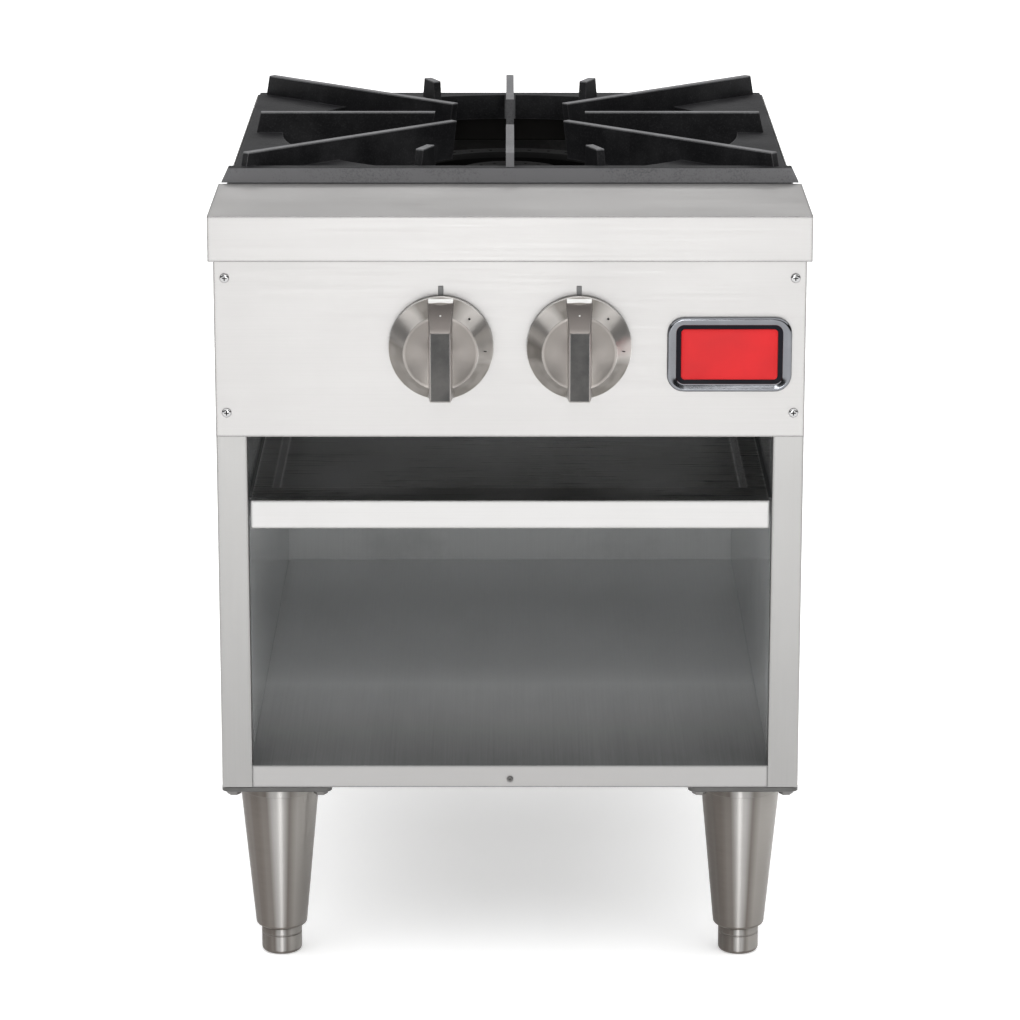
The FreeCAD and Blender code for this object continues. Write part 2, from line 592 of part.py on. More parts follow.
def burner(name, sign, radius, count):
    """One burner casting: a ported ring, its neck, and a venturi tube from in line with its jet."""
    shell, hollow = burner_ring(radius)
    x = f"{sign} * {KNOB_X}"
    mouth = f"({FRONT} + venturi_mouth)"
    in_line = value(radius) > value(KNOB_X)
    neck_x = x if in_line else f"{sign} * {radius}"
    neck_y = f"({BURNER_Y} - sqrt({radius} * {radius} - {KNOB_X} * {KNOB_X}))" if in_line else BURNER_Y
    tube = rod((x, mouth, KNOB_Z), "venturi_radius", f"{neck_y} + neck_radius - {mouth}", "y")
    bore = rod((x, f"{mouth} - sheet", KNOB_Z), "venturi_bore", f"{neck_y} + sheet - {mouth}", "y")
    rise = f"{BURNER_TOP} - ring_height + sheet - {KNOB_Z}"
    neck = rod((neck_x, neck_y, KNOB_Z), "neck_radius", rise)
    duct = rod((neck_x, neck_y, KNOB_Z), "neck_radius - ring_wall", f"{rise} + ring_wall")
    keep(cut(fuse(shell, tube, neck), hollow, bore, duct, *ports(radius, count)), name)


def burner_support(name, side):
    """Angle bar across the chamber that a burner ring rests on."""
    middle = f"({BURNER_Y} + {side} * support_spread)"
    top = f"({BURNER_TOP} - ring_height)"
    low_y, high_y = f"({middle} - support_width / 2)", f"({middle} + support_width / 2)"
    shelf = box((f"-{LINER}", low_y, f"{top} - support_wall"), (LINER, high_y, top))
    wing = box((f"-{LINER}", low_y, f"{top} - support_width"), (LINER, f"{low_y} + support_wall", top))
    keep(fuse(shelf, wing), name)


def air_shutter(hand, sign):
    """Round plate that turns on the venturi's mouth to set the air, with four air holes."""
    x, front = f"{sign} * {KNOB_X}", f"({FRONT} + venturi_mouth - slide_clearance - shutter_thickness)"
    start, past = f"{front} - sheet", "shutter_thickness + 2 * sheet"
    disc = rod((x, front, KNOB_Z), "shutter_radius", "shutter_thickness", "y")
    jet = rod((x, start, KNOB_Z), "jet_hole", past, "y")
    vents = [rod((f"{x} + air_hole_reach * cos({angle})", start, f"{KNOB_Z} + air_hole_reach * sin({angle})"),
                 "air_hole", past, "y") for angle in (0, 90, 180, 270)]
    keep(cut(disc, jet, *vents), f"{hand}_air_shutter")


# ---- grate -----------------------------------------------------------------------------

def grate_plate():
    """Square plate with sloping edges, and a skirt round the hole."""
    half, back = "(grate_width / 2)", f"({GRATE_FRONT} + grate_depth)"
    corners = [(f"-{half}", GRATE_FRONT), (half, GRATE_FRONT), (half, back), (f"-{half}", back)]
    plate = extruded("XY_Plane", corners, SIDE_TOP, "grate_plate", taper="-grate_draft")
    skirt = rod(("0", BURNER_Y, f"{GRATE_TOP} - hole_skirt"), "hole_radius + hole_wall", "hole_skirt")
    return fuse(plate, skirt)


def grate_lip():
    """Bar along the grate's front that stands up behind the cap, its ends sloping in."""
    low, high = f"({TOP} + grate_clearance)", f"({TOP} + grate_clearance + lip_height)"
    points = [("-lip_width / 2", low), ("lip_width / 2", low), ("lip_top_width / 2", high),
              ("-lip_top_width / 2", high)]
    return extruded("XZ_Plane", points, f"-{GRATE_FRONT} - lip_depth", "lip_depth")


def rib(angle, points):
    """An upright rib from its side view, pointing at the middle of the hole at an angle."""
    flat = extruded("XZ_Plane", points, "0", "fin_width", both_ways=True)
    return place(flat, y=BURNER_Y, turn=FreeCAD.Rotation(FreeCAD.Vector(0, 0, 1), angle))


def fin(angle, outer):
    """One long rib, from near the middle of the hole out over the plate."""
    root = f"{FIN_TOP} - fin_root"
    return rib(angle, [("fin_inner", FIN_TOP), (outer, FIN_TOP),
                       (f"{outer} + fin_lean", f"{GRATE_TOP} - fin_lean"),
                       ("hole_radius + hole_wall", f"{GRATE_TOP} - fin_lean"),
                       ("hole_radius + hole_wall", f"{GRATE_TOP} - grate_plate"),
                       ("fin_inner + fin_lean", root)])


def stub(angle):
    """One short rib at the edge of the hole, which keeps small pots from tipping."""
    low = f"{GRATE_TOP} - hole_skirt"
    return rib(angle, [("stub_inner", FIN_TOP), ("stub_outer", FIN_TOP),
                       ("stub_outer + fin_lean", f"{GRATE_TOP} - fin_lean"),
                       ("hole_radius + sheet", low), ("stub_inner - fin_lean", low)])


def top_grate():
    """Cast-iron grate: plate, front lip, eight long ribs and four short ones."""
    corner, short = SIZES["fin_corner_angle"], SIZES["stub_angle"]
    ribs = [fin(angle, "fin_side_reach") for angle in (0, 180)]
    ribs += [fin(angle, "fin_end_reach") for angle in (90, 270)]
    ribs += [fin(angle, "fin_corner_reach") for angle in (corner, 180 - corner, 180 + corner, -corner)]
    stubs = [stub(angle) for angle in (short, 180 - short, 180 + short, -short)]
    hole = rod(("0", BURNER_Y, f"{SIDE_TOP} - hole_skirt"), "hole_radius", "3 * hole_skirt")
    keep(fuse(cut(grate_plate(), hole), grate_lip(), *ribs, *stubs), "top_grate")


# ---- legs ------------------------------------------------------------------------------

def leg_places():
    """Name and middle of each leg."""
    return [(f"{end}_{hand}", f"{sign} * leg_x", f"({FRONT} + leg_{end})")
            for end in ("front", "back") for hand, sign in sides()]


def leg(name, x, y):
    """Tapered tube leg under its square mounting plate, with a bore for the foot's stem."""
    top = "(leg_height - leg_plate_wall)"
    insert = "(leg_bottom + leg_insert)"
    outline = [("foot_stem_radius + foot_clearance", "leg_bottom"), ("leg_lower_radius", "leg_bottom"),
               ("leg_upper_radius", f"{top} - leg_shoulder"), ("leg_top_radius", top),
               ("leg_upper_radius - leg_wall", top), ("leg_lower_radius - leg_wall", insert),
               ("foot_stem_radius + foot_clearance", insert)]
    plate = box((f"{x} - leg_plate / 2", f"{y} - leg_plate / 2", top),
                (f"{x} + leg_plate / 2", f"{y} + leg_plate / 2", "leg_height"))
    keep(fuse(turned(outline, x, y), plate), f"{name}_leg")


def foot(name, x, y):
    """Adjustable foot: a round pad on a stem that screws up into the leg."""
    stem_top = "leg_bottom + foot_stem_length"
    outline = [("0", "0"), ("foot_radius - foot_edge", "0"), ("foot_radius", "foot_edge"),
               ("foot_radius", "leg_bottom - foot_edge"), ("foot_radius - foot_edge", "leg_bottom"),
               ("foot_stem_radius", "leg_bottom"), ("foot_stem_radius", stem_top), ("0", stem_top)]
    keep(turned(outline, x, y), f"{name}_foot")


def leg_bolts():
    """Heads of the bolts that hold each leg's plate to the body, four to a leg."""
    low = "leg_height - leg_plate_wall - leg_bolt_rise"
    heads = [rod((f"{x} + {across} * leg_bolt_reach", f"{y} + {deep} * leg_bolt_reach", low),
                 "leg_bolt_head", "leg_bolt_rise")
             for _, x, y in leg_places() for across in (-1, 1) for deep in (-1, 1)]
    keep(group(*heads), "leg_bolts")


# ---- assembly --------------------------------------------------------------------------

def build():
    """Make every sub-part."""
    for hand, sign in sides():
        side_panel(hand, sign)
        side_liner(hand, sign)
        top_rail(hand, sign)
        tray_rail(hand, sign)
        knob(hand, sign)
        knob_grip(hand, sign)
        valve_stem(hand, sign)
        gas_valve(hand, sign)
        orifice_hood(hand, sign)
        air_shutter(hand, sign)
    base_panel()
    leg_channel("front_leg_channel", "leg_front")
    leg_channel("rear_leg_channel", "leg_back")
    back_panel()
    top_cap()
    control_panel()
    valve_baffle()
    rear_deck()
    crumb_tray()
    crumb_tray_front()
    index_marks()
    badge()
    panel_screws()
    gas_manifold()
    manifold_elbow()
    supply_pipe()
    pilot_light()
    burner("outer_burner", 1, "outer_ring_radius", SIZES["outer_ports"])
    burner("inner_burner", -1, "inner_ring_radius", SIZES["inner_ports"])
    burner_support("front_burner_support", -1)
    burner_support("rear_burner_support", 1)
    top_grate()
    for name, x, y in leg_places():
        leg(name, x, y)
        foot(name, x, y)
    leg_bolts()


def write():
    """Check every object and sub-part, then write one STEP file for each sub-part."""
    doc.recompute()
    failed = [item.Label for item in doc.Objects if {"Invalid", "Error"} & set(item.State)]
    failed += [item.Label for item in nodes if item.Shape.isNull() or not item.Shape.isValid()]
    if failed:
        raise RuntimeError("these objects failed: " + ", ".join(failed))
    os.makedirs("parts", exist_ok=True)
    for item in nodes:
        item.Shape.exportStep(f"parts/{item.Label}.step")
        print(item.Label, len(item.Shape.Solids), round(item.Shape.Volume))


fill_sheet()
build()
write()
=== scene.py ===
"""The looks of the stock pot range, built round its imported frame.

Metres, in the frame of the CAD model: X to the right, Y to the back, Z up from the floor.
"""
import math

import bmesh
import bpy
from mathutils import Matrix, Vector


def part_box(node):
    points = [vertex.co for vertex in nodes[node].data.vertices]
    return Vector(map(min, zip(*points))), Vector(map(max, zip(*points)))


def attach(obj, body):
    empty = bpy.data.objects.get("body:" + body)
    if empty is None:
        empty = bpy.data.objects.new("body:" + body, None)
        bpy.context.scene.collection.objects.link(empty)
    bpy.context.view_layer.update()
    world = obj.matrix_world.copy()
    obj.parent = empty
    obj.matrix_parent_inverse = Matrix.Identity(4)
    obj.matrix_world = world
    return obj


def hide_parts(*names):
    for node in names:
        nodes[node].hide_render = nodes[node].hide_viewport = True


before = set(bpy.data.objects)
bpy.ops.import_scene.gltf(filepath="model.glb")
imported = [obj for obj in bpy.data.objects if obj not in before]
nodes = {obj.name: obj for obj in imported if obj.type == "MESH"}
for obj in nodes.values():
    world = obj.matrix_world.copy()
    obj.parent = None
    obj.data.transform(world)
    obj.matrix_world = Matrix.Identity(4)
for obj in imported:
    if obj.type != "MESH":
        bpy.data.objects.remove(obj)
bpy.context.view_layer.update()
scene = bpy.context.scene

MM = 0.001
CAP_LOW, CAP_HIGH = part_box("top_cap")
GRATE_LOW, GRATE_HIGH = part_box("top_grate")
PANEL_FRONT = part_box("control_panel")[0].y
HANDS = ("left", "right")
FEET = [f"{end}_{hand}" for end in ("front", "back") for hand in HANDS]

# The camera stands in front of the middle, above the top, and looks down a little.
CAMERA_AWAY = 3.149
CAMERA_ABOVE = 0.612
CAMERA_PITCH = 14.95
CAMERA_LENS = 150
CAMERA_SENSOR = 36
CAMERA_REACH = 60

# Dial of a knob: how far out its skirt and its face stand, its face's radius, and the dip
# of the cone between them. The marks stand part of the way up the cone.
KNOB_SKIRT = 5 * MM
KNOB_RISE = 23 * MM
KNOB_FACE = 28.5 * MM
CONE_DIP = 0.56 * MM
MARK_SHARE = 0.55

# Bar of a knob: its widths, how far its front reaches above and below the knob's middle,
# and the pointer across its upper end.
GRIP_WIDTH = 16 * MM
GRIP_FOOT_WIDTH = 20.5 * MM
GRIP_FRONT_TOP = 20 * MM
GRIP_FRONT_BOTTOM = 34 * MM
POINTER_WIDTH = 19 * MM
POINTER_HEIGHT = 3.8 * MM
POINTER_UP = 36.8 * MM

# Leg: its radii at the top and the bottom, its plate's thickness, its collar's depth, its
# bolts' size and how far they stand from its middle, and the height of the foot under it.
LEG_UPPER_RADIUS = 31.2 * MM
LEG_LOWER_RADIUS = 20.3 * MM
LEG_PLATE_WALL = 4 * MM
LEG_COLLAR = 9 * MM
BOLT_RADIUS = 6.5 * MM
BOLT_SPREAD = 34 * MM
FOOT_PAD = 22 * MM

# How many steps go round a turned shape, and round a screw's head.
ROUND_STEPS = 96
SCREW_STEPS = 40

# How many steps go up a dial's cone and out along a knob's bar.
CONE_STEPS = 8
BAR_STEPS = 20


# ---- colours and surfaces --------------------------------------------------------------

STEEL = (0.482, 0.474, 0.468)
LIP_STEEL = (0.52, 0.515, 0.51)
POST_STEEL = (0.42, 0.415, 0.408)
INNER_STEEL = (0.55, 0.56, 0.56)
BACK_STEEL = (0.52, 0.53, 0.53)
WALL_STEEL = (0.93, 0.94, 0.94)
FLOOR_STEEL = (0.97, 0.98, 0.98)
TRAY_STEEL = (0.50, 0.50, 0.50)
CHAMBER_SHADE_STEEL = (0.022, 0.021, 0.02)
CHAMBER_SHADE = (0.03, 0.029, 0.028)
GRATE_IRON = (0.006, 0.006, 0.007)
GRATE_BARE_AND_LIT = (0.165, 0.165, 0.17)
BURNER_IRON = (0.002, 0.002, 0.002)
BURNER_BARE = (0.01, 0.01, 0.01)
PIPE_IRON = (0.02, 0.02, 0.022)
PIPE_BARE = (0.12, 0.12, 0.125)
BRASS = (0.72, 0.52, 0.24)
ALUMINIUM = (0.78, 0.78, 0.79)
MARK_GREY = (0.25, 0.25, 0.25)
BADGE_CHROME = (0.19, 0.196, 0.21)
BORDER_BLACK = (0.004, 0.004, 0.008)
PLATE_RED = (0.60, 0.02, 0.023)
POINTER_WHITE = (0.85, 0.85, 0.83)
MARK_INK = (0.03, 0.03, 0.03)
RECESS_SHADOW = (0.02, 0.02, 0.02)
SCREW_PLATING = (0.46, 0.46, 0.46)
BOLT_ZINC = (0.20, 0.195, 0.19)
LEG_PLATE_STEEL = (0.13, 0.128, 0.125)
BAR_TARNISH = (0.2, 0.19, 0.18)
# Painted highlight along the edges of a knob's bar.
BAR_EDGE_HIGHLIGHT = (0.85, 0.84, 0.82)

# Stretch factors of the grain, small along the brushing.
ACROSS = (9, 1100, 1100)
FRONT_TO_BACK = (1100, 9, 1100)
UPRIGHT = (1100, 1100, 9)

# How far from a fold the sheet carries painted shade.
FOLD_SHADE = 2.6 * MM

# Heights of the chamber's painted shade, darker upward, and of the posts' painted shade, darker downward.
SHADE_FROM_TRAY = (0.40, 0.46)
LOW_BODY_SHADE = (0.46, 0.16)

# Painted shade darkens the cabinet floor most at its front edge; it grows pale up to this Y,
# at first slowly: its paleness is this power of the way there.
FLOOR_PALE_BACK = -0.08
FLOOR_FADE = 1.7

# The grate is rubbed down to this depth on its ribs. Looking to the front, it has a painted
# highlight this far back on its front lip, and on the front ends of the ribs in its middle, which are twice
# this wide.
RUBBED_DEPTH = 1.4 * MM
LIP_DEPTH = 13 * MM
MIDDLE_RIB = 4 * MM

# Softened edges of the sheet parts and of the grate.
SHEET_EDGE = 0.4 * MM
GRATE_EDGE = 1.3 * MM

# Corners this close are welded, faces this nearly level are made one, and an edge is sharp
# where its faces turn by more than the last angle.
WELD_WITHIN = 0.01 * MM
LEVEL_WITHIN = math.radians(1)
SHARP_FROM = math.radians(40)


# ---- small helpers for node materials --------------------------------------------------

class Shader:
    """One material and its node tree, with short ways to add and join nodes."""

    def __init__(self, name):
        self.material = bpy.data.materials.new(name)
        self.material.use_nodes = True
        self.tree = self.material.node_tree
        self.main = self.tree.nodes["Principled BSDF"]
        self.coordinates = self.node("ShaderNodeTexCoord")
        self.place = self.coordinates.outputs["Object"]

    def node(self, kind, **settings):
        made = self.tree.nodes.new(kind)
        for key, setting in settings.items():
            setattr(made, key, setting)
        return made

    def join(self, start, end):
        self.tree.links.new(start, end)

    def set(self, **inputs):
        """Set the shader's own sockets; a name's underscores stand for spaces."""
        for key, setting in inputs.items():
            self.main.inputs[key.replace("_", " ")].default_value = setting

    def stretched(self, x, y, z, source=None):
        """Coordinates scaled by a factor along each axis."""
        mapping = self.node("ShaderNodeMapping")
        mapping.inputs["Scale"].default_value = (x, y, z)
        self.join(source or self.place, mapping.inputs["Vector"])
        return mapping.outputs["Vector"]

    def noise(self, where, scale=1, detail=4, rough=0.5, distortion=0):
        """Noise between 0 and 1."""
        made = self.node("ShaderNodeTexNoise")
        self.join(where, made.inputs["Vector"])
        for key, setting in (("Scale", scale), ("Detail", detail), ("Roughness", rough),
                             ("Distortion", distortion)):
            made.inputs[key].default_value = setting
        return made.outputs["Fac"]

    def ramp(self, value, low, high, start=0.0, end=1.0):
        """A value moved from one range to another."""
        made = self.node("ShaderNodeMapRange")
        self.join(value, made.inputs["Value"])
        for key, setting in (("From Min", low), ("From Max", high), ("To Min", start), ("To Max", end)):
            made.inputs[key].default_value = setting
        return made.outputs["Result"]

    def blend(self, value, first, second):
        """A colour between two colours, which may be node outputs."""
        made = self.node("ShaderNodeMix", data_type="RGBA")
        self.join(value, made.inputs["Factor"])
        for key, colour in (("A", first), ("B", second)):
            socket = next(s for s in made.inputs if s.name == key and s.type == "RGBA")
            if isinstance(colour, tuple):
                socket.default_value = (*colour, 1)
            else:
                self.join(colour, socket)
        return next(s for s in made.outputs if s.type == "RGBA")

    def mix(self, value, first, second):
        """A value between two node outputs."""
        made = self.node("ShaderNodeMix", data_type="FLOAT")
        for socket, term in zip(made.inputs, (value, None, first, second)):
            if term:
                self.join(term, socket)
        return made.outputs[0]

    def combine(self, *values, kind="ADD"):
        """Several values added together, or combined by another kind of arithmetic."""
        total = values[0]
        for value in values[1:]:
            made = self.node("ShaderNodeMath", operation=kind)
            for socket, term in zip(made.inputs, (total, value)):
                if isinstance(term, (int, float)):
                    socket.default_value = term
                else:
                    self.join(term, socket)
            total = made.outputs["Value"]
        return total

    def bump(self, height, strength, distance, under=None):
        """A bump from a height, over another bump if one is given."""
        made = self.node("ShaderNodeBump")
        made.inputs["Strength"].default_value = strength
        made.inputs["Distance"].default_value = distance
        self.join(height, made.inputs["Height"])
        if under:
            self.join(under, made.inputs["Normal"])
        return made.outputs["Normal"]

    def edges(self, radius):
        """1 along the object's outer edges and 0 on its flats."""
        rounded = self.node("ShaderNodeBevel", samples=6)
        rounded.inputs["Radius"].default_value = radius
        plain = self.node("ShaderNodeNewGeometry").outputs["Normal"]
        across = self.node("ShaderNodeVectorMath", operation="DOT_PRODUCT")
        self.join(rounded.outputs["Normal"], across.inputs[0])
        self.join(plain, across.inputs[1])
        return self.ramp(across.outputs["Value"], 0.995, 0.93)

    def facing(self, axis, low, high):
        """How far a face looks along an axis of the object, moved to run from 0 at low to 1 at high."""
        split = self.node("ShaderNodeSeparateXYZ")
        self.join(self.coordinates.outputs["Normal"], split.inputs["Vector"])
        return self.ramp(split.outputs[axis], low, high)

    def part_way(self, axis, low, high):
        """How far along an axis of the object a point is, from 0 at low to 1 at high."""
        split = self.node("ShaderNodeSeparateXYZ")
        self.join(self.place, split.inputs["Vector"])
        return self.ramp(split.outputs[axis], low, high)

    def finish(self, colour=None, rough=None, normal=None):
        """Join what varies over the surface to the shader, and return the material."""
        for key, output in (("Base Color", colour), ("Roughness", rough), ("Normal", normal)):
            if output:
                self.join(output, self.main.inputs[key])
        return self.material


def brushed(name, colour, grain, rough=0.44, contrast=0.06, shade_heights=None, metal=1.0, edge=0.33, low=None):
    """Satin brushed sheet, with (x, y, z) stretch factors for its grain.

    Contrast is how much its colour and roughness vary. Shade heights are those between which
    painted shade darkens the sheet upward, except on its back, and low those between which
    painted shade darkens it downward. Edge is how bright the sheet's edges are painted against
    its flats: below 1 a painted shade, above 1 a painted highlight.
    """
    shader = Shader(name)
    shader.set(Metallic=metal)
    fine = shader.noise(shader.stretched(*grain), detail=3, rough=0.6)
    smear = shader.noise(shader.stretched(5, 5, 5), detail=5, rough=0.55, distortion=0.5)
    nicks = shader.noise(shader.stretched(*(part * 0.3 for part in grain)), detail=6, rough=0.75)
    tone = shader.combine(shader.ramp(fine, 0.3, 0.7, 0, 0.5), shader.ramp(smear, 0.3, 0.7, 0, 0.35),
                          shader.ramp(nicks, 0.25, 0.5, 0, 0.15))
    tint = shader.blend(tone, darker(colour, 1 - contrast * 2), colour)
    # Painted shade along the sheet's folds and edges, which an edge above 1 turns into a painted highlight.
    tint = shader.blend(shader.edges(FOLD_SHADE), tint, darker(colour, edge))
    dull = shader.combine(shader.ramp(fine, 0.25, 0.75, rough - contrast, rough + contrast),
                          shader.ramp(smear, 0.4, 0.75, -0.02, 0.04))
    cloud = shader.noise(shader.stretched(12, 12, 12), detail=6, rough=0.65)
    if low:
        # Painted shade: the sheet darkens toward the bottom, with a little noise.
        worn = shader.combine(shader.part_way("Z", *low), shader.ramp(cloud, 0.3, 0.7, -0.05, 0.05))
        tint = shader.blend(worn, tint, darker(colour, 0.72))
    if shade_heights:
        # Painted shade in the burner chamber: the sheet darkens upward, except where it looks to the back.
        shaded_upward = shader.combine(shader.part_way("Z", *shade_heights), shader.ramp(cloud, 0.3, 0.7, -0.15, 0.15))
        shaded_upward = shader.combine(shaded_upward, shader.facing("Y", 0.5, 0.3), kind="MULTIPLY")
        tint = shader.blend(shaded_upward, tint, CHAMBER_SHADE)
        dull = shader.combine(dull, shader.ramp(shaded_upward, 0, 1, 0, 0.15))
    return shader.finish(tint, dull, shader.bump(fine, 0.04, 0.0001))


def darker(colour, factor):
    """A colour times a factor, which darkens it when it is below 1."""
    return tuple(part * factor for part in colour)


def floor_steel(name, colour, rail_colour, front, back):
    """Dull sheet brushed front to back on its top, with painted shade that makes it grow paler from front to
    back.

    The rail along its front edge is brighter, and brushed across.
    """
    shader = Shader(name)
    shader.set(Metallic=0.1)
    facing_up = shader.facing("Z", 0.4, 0.6)
    floor_grain = shader.noise(shader.stretched(500, 5, 500), detail=5, rough=0.7)
    rail_grain = shader.noise(shader.stretched(18, 2400, 2400), detail=3, rough=0.6)
    smear = shader.noise(shader.stretched(14, 3, 14), detail=6, rough=0.6, distortion=0.6)
    worn = shader.combine(shader.ramp(floor_grain, 0.3, 0.7, 0, 0.45), shader.ramp(smear, 0.3, 0.7, 0, 0.55))
    # Painted shade: dark at the floor's front edge, pale farther back.
    front_shade = shader.blend(worn, darker(colour, 0.10), darker(colour, 0.17))
    far = shader.blend(worn, darker(colour, 0.9), colour)
    depth = shader.combine(shader.part_way("Y", front, back), FLOOR_FADE, kind="POWER")
    floor_tint = shader.blend(depth, front_shade, far)
    rail_tint = shader.blend(rail_grain, darker(rail_colour, 0.93), rail_colour)
    # Painted shade along the rail's folds and edges.
    rail_tint = shader.blend(shader.edges(FOLD_SHADE), rail_tint, darker(rail_colour, 0.33))
    tint = shader.blend(facing_up, rail_tint, floor_tint)
    rough = shader.mix(facing_up, shader.ramp(rail_grain, 0.3, 0.7, 0.4, 0.48),
                       shader.ramp(worn, 0, 1, 0.55, 0.42))
    return shader.finish(tint, rough, shader.bump(floor_grain, 0.04, 0.0001))


def spun(name, colour, bright, front, rim, axis, rough):
    """Metal turned on a lathe: fine rings round the piece's own axis, from its ring attribute.

    Bright is its colour a little in random streaks, and fully as a painted highlight on its right
    side and its upper left. Front is a painted highlight where it looks straight to the front, and
    rim a painted highlight along its edges.
    """
    shader = Shader(name)
    shader.set(Metallic=1.0, Anisotropic=0.96, Anisotropic_Rotation=0.25)
    ring = shader.node("ShaderNodeAttribute", attribute_name="ring").outputs["Vector"]
    grain = shader.noise(shader.stretched(1500, 3, 1500, ring), detail=3, rough=0.65)
    band = shader.noise(shader.stretched(260, 1, 260, ring), detail=3)
    smear = shader.noise(shader.stretched(14, 14, 14), detail=5, distortion=0.6)
    dark = darker(colour, 0.82)
    tone = shader.combine(shader.ramp(grain, 0.3, 0.7, 0, 0.45), shader.ramp(band, 0.3, 0.7, 0, 0.3),
                          shader.ramp(smear, 0.35, 0.7, 0, 0.25))
    dull = shader.combine(shader.ramp(grain, 0.25, 0.75, rough - 0.05, rough + 0.06),
                          shader.ramp(smear, 0.4, 0.7, 0, 0.04))
    tangent = shader.node("ShaderNodeTangent", direction_type="RADIAL", axis=axis)
    shader.join(tangent.outputs["Tangent"], shader.main.inputs["Tangent"])
    streaks = shader.noise(shader.stretched(3, 3, 3, shader.coordinates.outputs["Normal"]), detail=1)
    # Painted highlights, brighter on the right side and the upper left.
    right = shader.combine(shader.facing("X", 0.25, 0.5), shader.facing("Z", -0.3, -0.1), kind="MULTIPLY")
    upper_left = shader.combine(shader.facing("X", -0.35, -0.5), shader.facing("Z", 0.1, 0.25),
                                kind="MULTIPLY")
    streaks_and_highlight = shader.combine(shader.ramp(streaks, 0.45, 0.65, 0, 0.2), right, upper_left, kind="MAXIMUM")
    tint = shader.blend(streaks_and_highlight, shader.blend(tone, dark, colour), bright)
    # Painted highlights down the part that looks to the front and along the edges.
    tint = shader.blend(shader.facing("Y", -0.95, -0.99), tint, front)
    tint = shader.blend(shader.combine(shader.edges(0.9 * MM), 0.6, kind="MULTIPLY"), tint, rim)
    return shader.finish(tint, dull, shader.bump(grain, 0.05, 0.0001))


def cast_iron(name, colour, bare, worn=None, gloss=0.18):
    """Sand-cast iron under matt black: a gritty skin, bare metal where it is rubbed, and lighter edges,
    partly rubbed metal and partly a painted highlight.

    Worn is the height above which pots rub it, and the Y in front of which its faces that look to
    the front have a painted highlight. The ends of the middle ribs that look to the front have it too.
    """
    shader = Shader(name)
    shader.set(Metallic=0.0, Specular_IOR_Level=gloss)
    grit = shader.noise(shader.stretched(700, 700, 700), detail=6, rough=0.65)
    lumps = shader.noise(shader.stretched(120, 120, 120), detail=5)
    patches = shader.noise(shader.stretched(22, 22, 22), detail=6, rough=0.6)
    # Lighter edges in patches: partly rubbed metal, partly a painted highlight.
    edge_wear_and_highlight = shader.combine(shader.edges(1.5 * MM), shader.ramp(patches, 0.35, 0.65, 0.06, 0.2),
                            kind="MULTIPLY")
    grey = shader.combine(edge_wear_and_highlight, shader.ramp(patches, 0.45, 0.75, 0, 0.10),
                          shader.ramp(grit, 0.5, 0.8, 0, 0.14))
    if worn:
        rubbed_height, lip_back = worn
        high = shader.part_way("Z", rubbed_height, rubbed_height + 0.8 * MM)
        lip = shader.part_way("Y", lip_back + 1 * MM, lip_back)
        middle = shader.combine(shader.part_way("X", -MIDDLE_RIB - 1 * MM, -MIDDLE_RIB),
                                shader.part_way("X", MIDDLE_RIB + 1 * MM, MIDDLE_RIB), kind="MULTIPLY")
        # Painted highlight where the lip and the middle ribs look to the front.
        front = shader.combine(shader.facing("Y", -0.75, -0.95), shader.combine(lip, middle, kind="MAXIMUM"),
                               kind="MULTIPLY")
        wear_and_painted_light = shader.combine(shader.combine(high, 0.75, kind="MULTIPLY"), front, kind="MAXIMUM")
        wear = shader.combine(shader.ramp(patches, 0.3, 0.7, 0.8, 1.2),
                              shader.ramp(grit, 0.3, 0.7, -0.3, 0.3))
        grey = shader.combine(grey, shader.combine(wear_and_painted_light, wear, kind="MULTIPLY"))
    rough = shader.combine(shader.ramp(patches, 0.3, 0.7, 0.5, 0.66), shader.ramp(grit, 0.3, 0.7, -0.05, 0.1))
    normal = shader.bump(grit, 0.3, 0.0004, shader.bump(lumps, 0.2, 0.001))
    return shader.finish(shader.blend(grey, colour, bare), rough, normal)


def bar_metal(name, colour, face_shade, slope_shade):
    """Brushed metal of a knob's bar, with painted shade on its front face and upper slope, and a painted
    highlight along its edges.
    """
    shader = Shader(name)
    shader.set(Metallic=1.0)
    grain = shader.noise(shader.stretched(2400, 2400, 30), detail=3, rough=0.6)
    smear = shader.noise(shader.stretched(40, 40, 40), detail=5, rough=0.6)
    # Painted shade on the front face and the upper slope, and a painted highlight on the edges.
    tint = shader.blend(shader.facing("Y", -0.9, -0.99), colour, face_shade)
    tint = shader.blend(shader.facing("Z", 0.2, 0.4), tint, slope_shade)
    tint = shader.blend(shader.ramp(smear, 0.3, 0.7, 0, 0.25), tint, BAR_TARNISH)
    tint = shader.blend(shader.edges(1.0 * MM), tint, BAR_EDGE_HIGHLIGHT)
    rough = shader.combine(shader.ramp(grain, 0.25, 0.75, 0.26, 0.4), shader.ramp(smear, 0.3, 0.7, 0, 0.06))
    return shader.finish(tint, rough, shader.bump(grain, 0.05, 0.0001))


def machined(name, colour, low, high):
    """Small turned or drawn metal parts with light tarnish, and roughness from low to high."""
    shader = Shader(name)
    shader.set(Metallic=1.0)
    fine = shader.noise(shader.stretched(500, 500, 500), detail=4)
    tarnish = shader.noise(shader.stretched(40, 40, 40), detail=6, rough=0.6)
    dull = darker(colour, 0.62)
    rough = shader.combine(shader.ramp(tarnish, 0.3, 0.7, low, high), shader.ramp(fine, 0.3, 0.7, 0, 0.05))
    tone = shader.ramp(tarnish, 0.3, 0.7)
    return shader.finish(shader.blend(tone, dull, colour), rough, shader.bump(fine, 0.08, 0.0002))


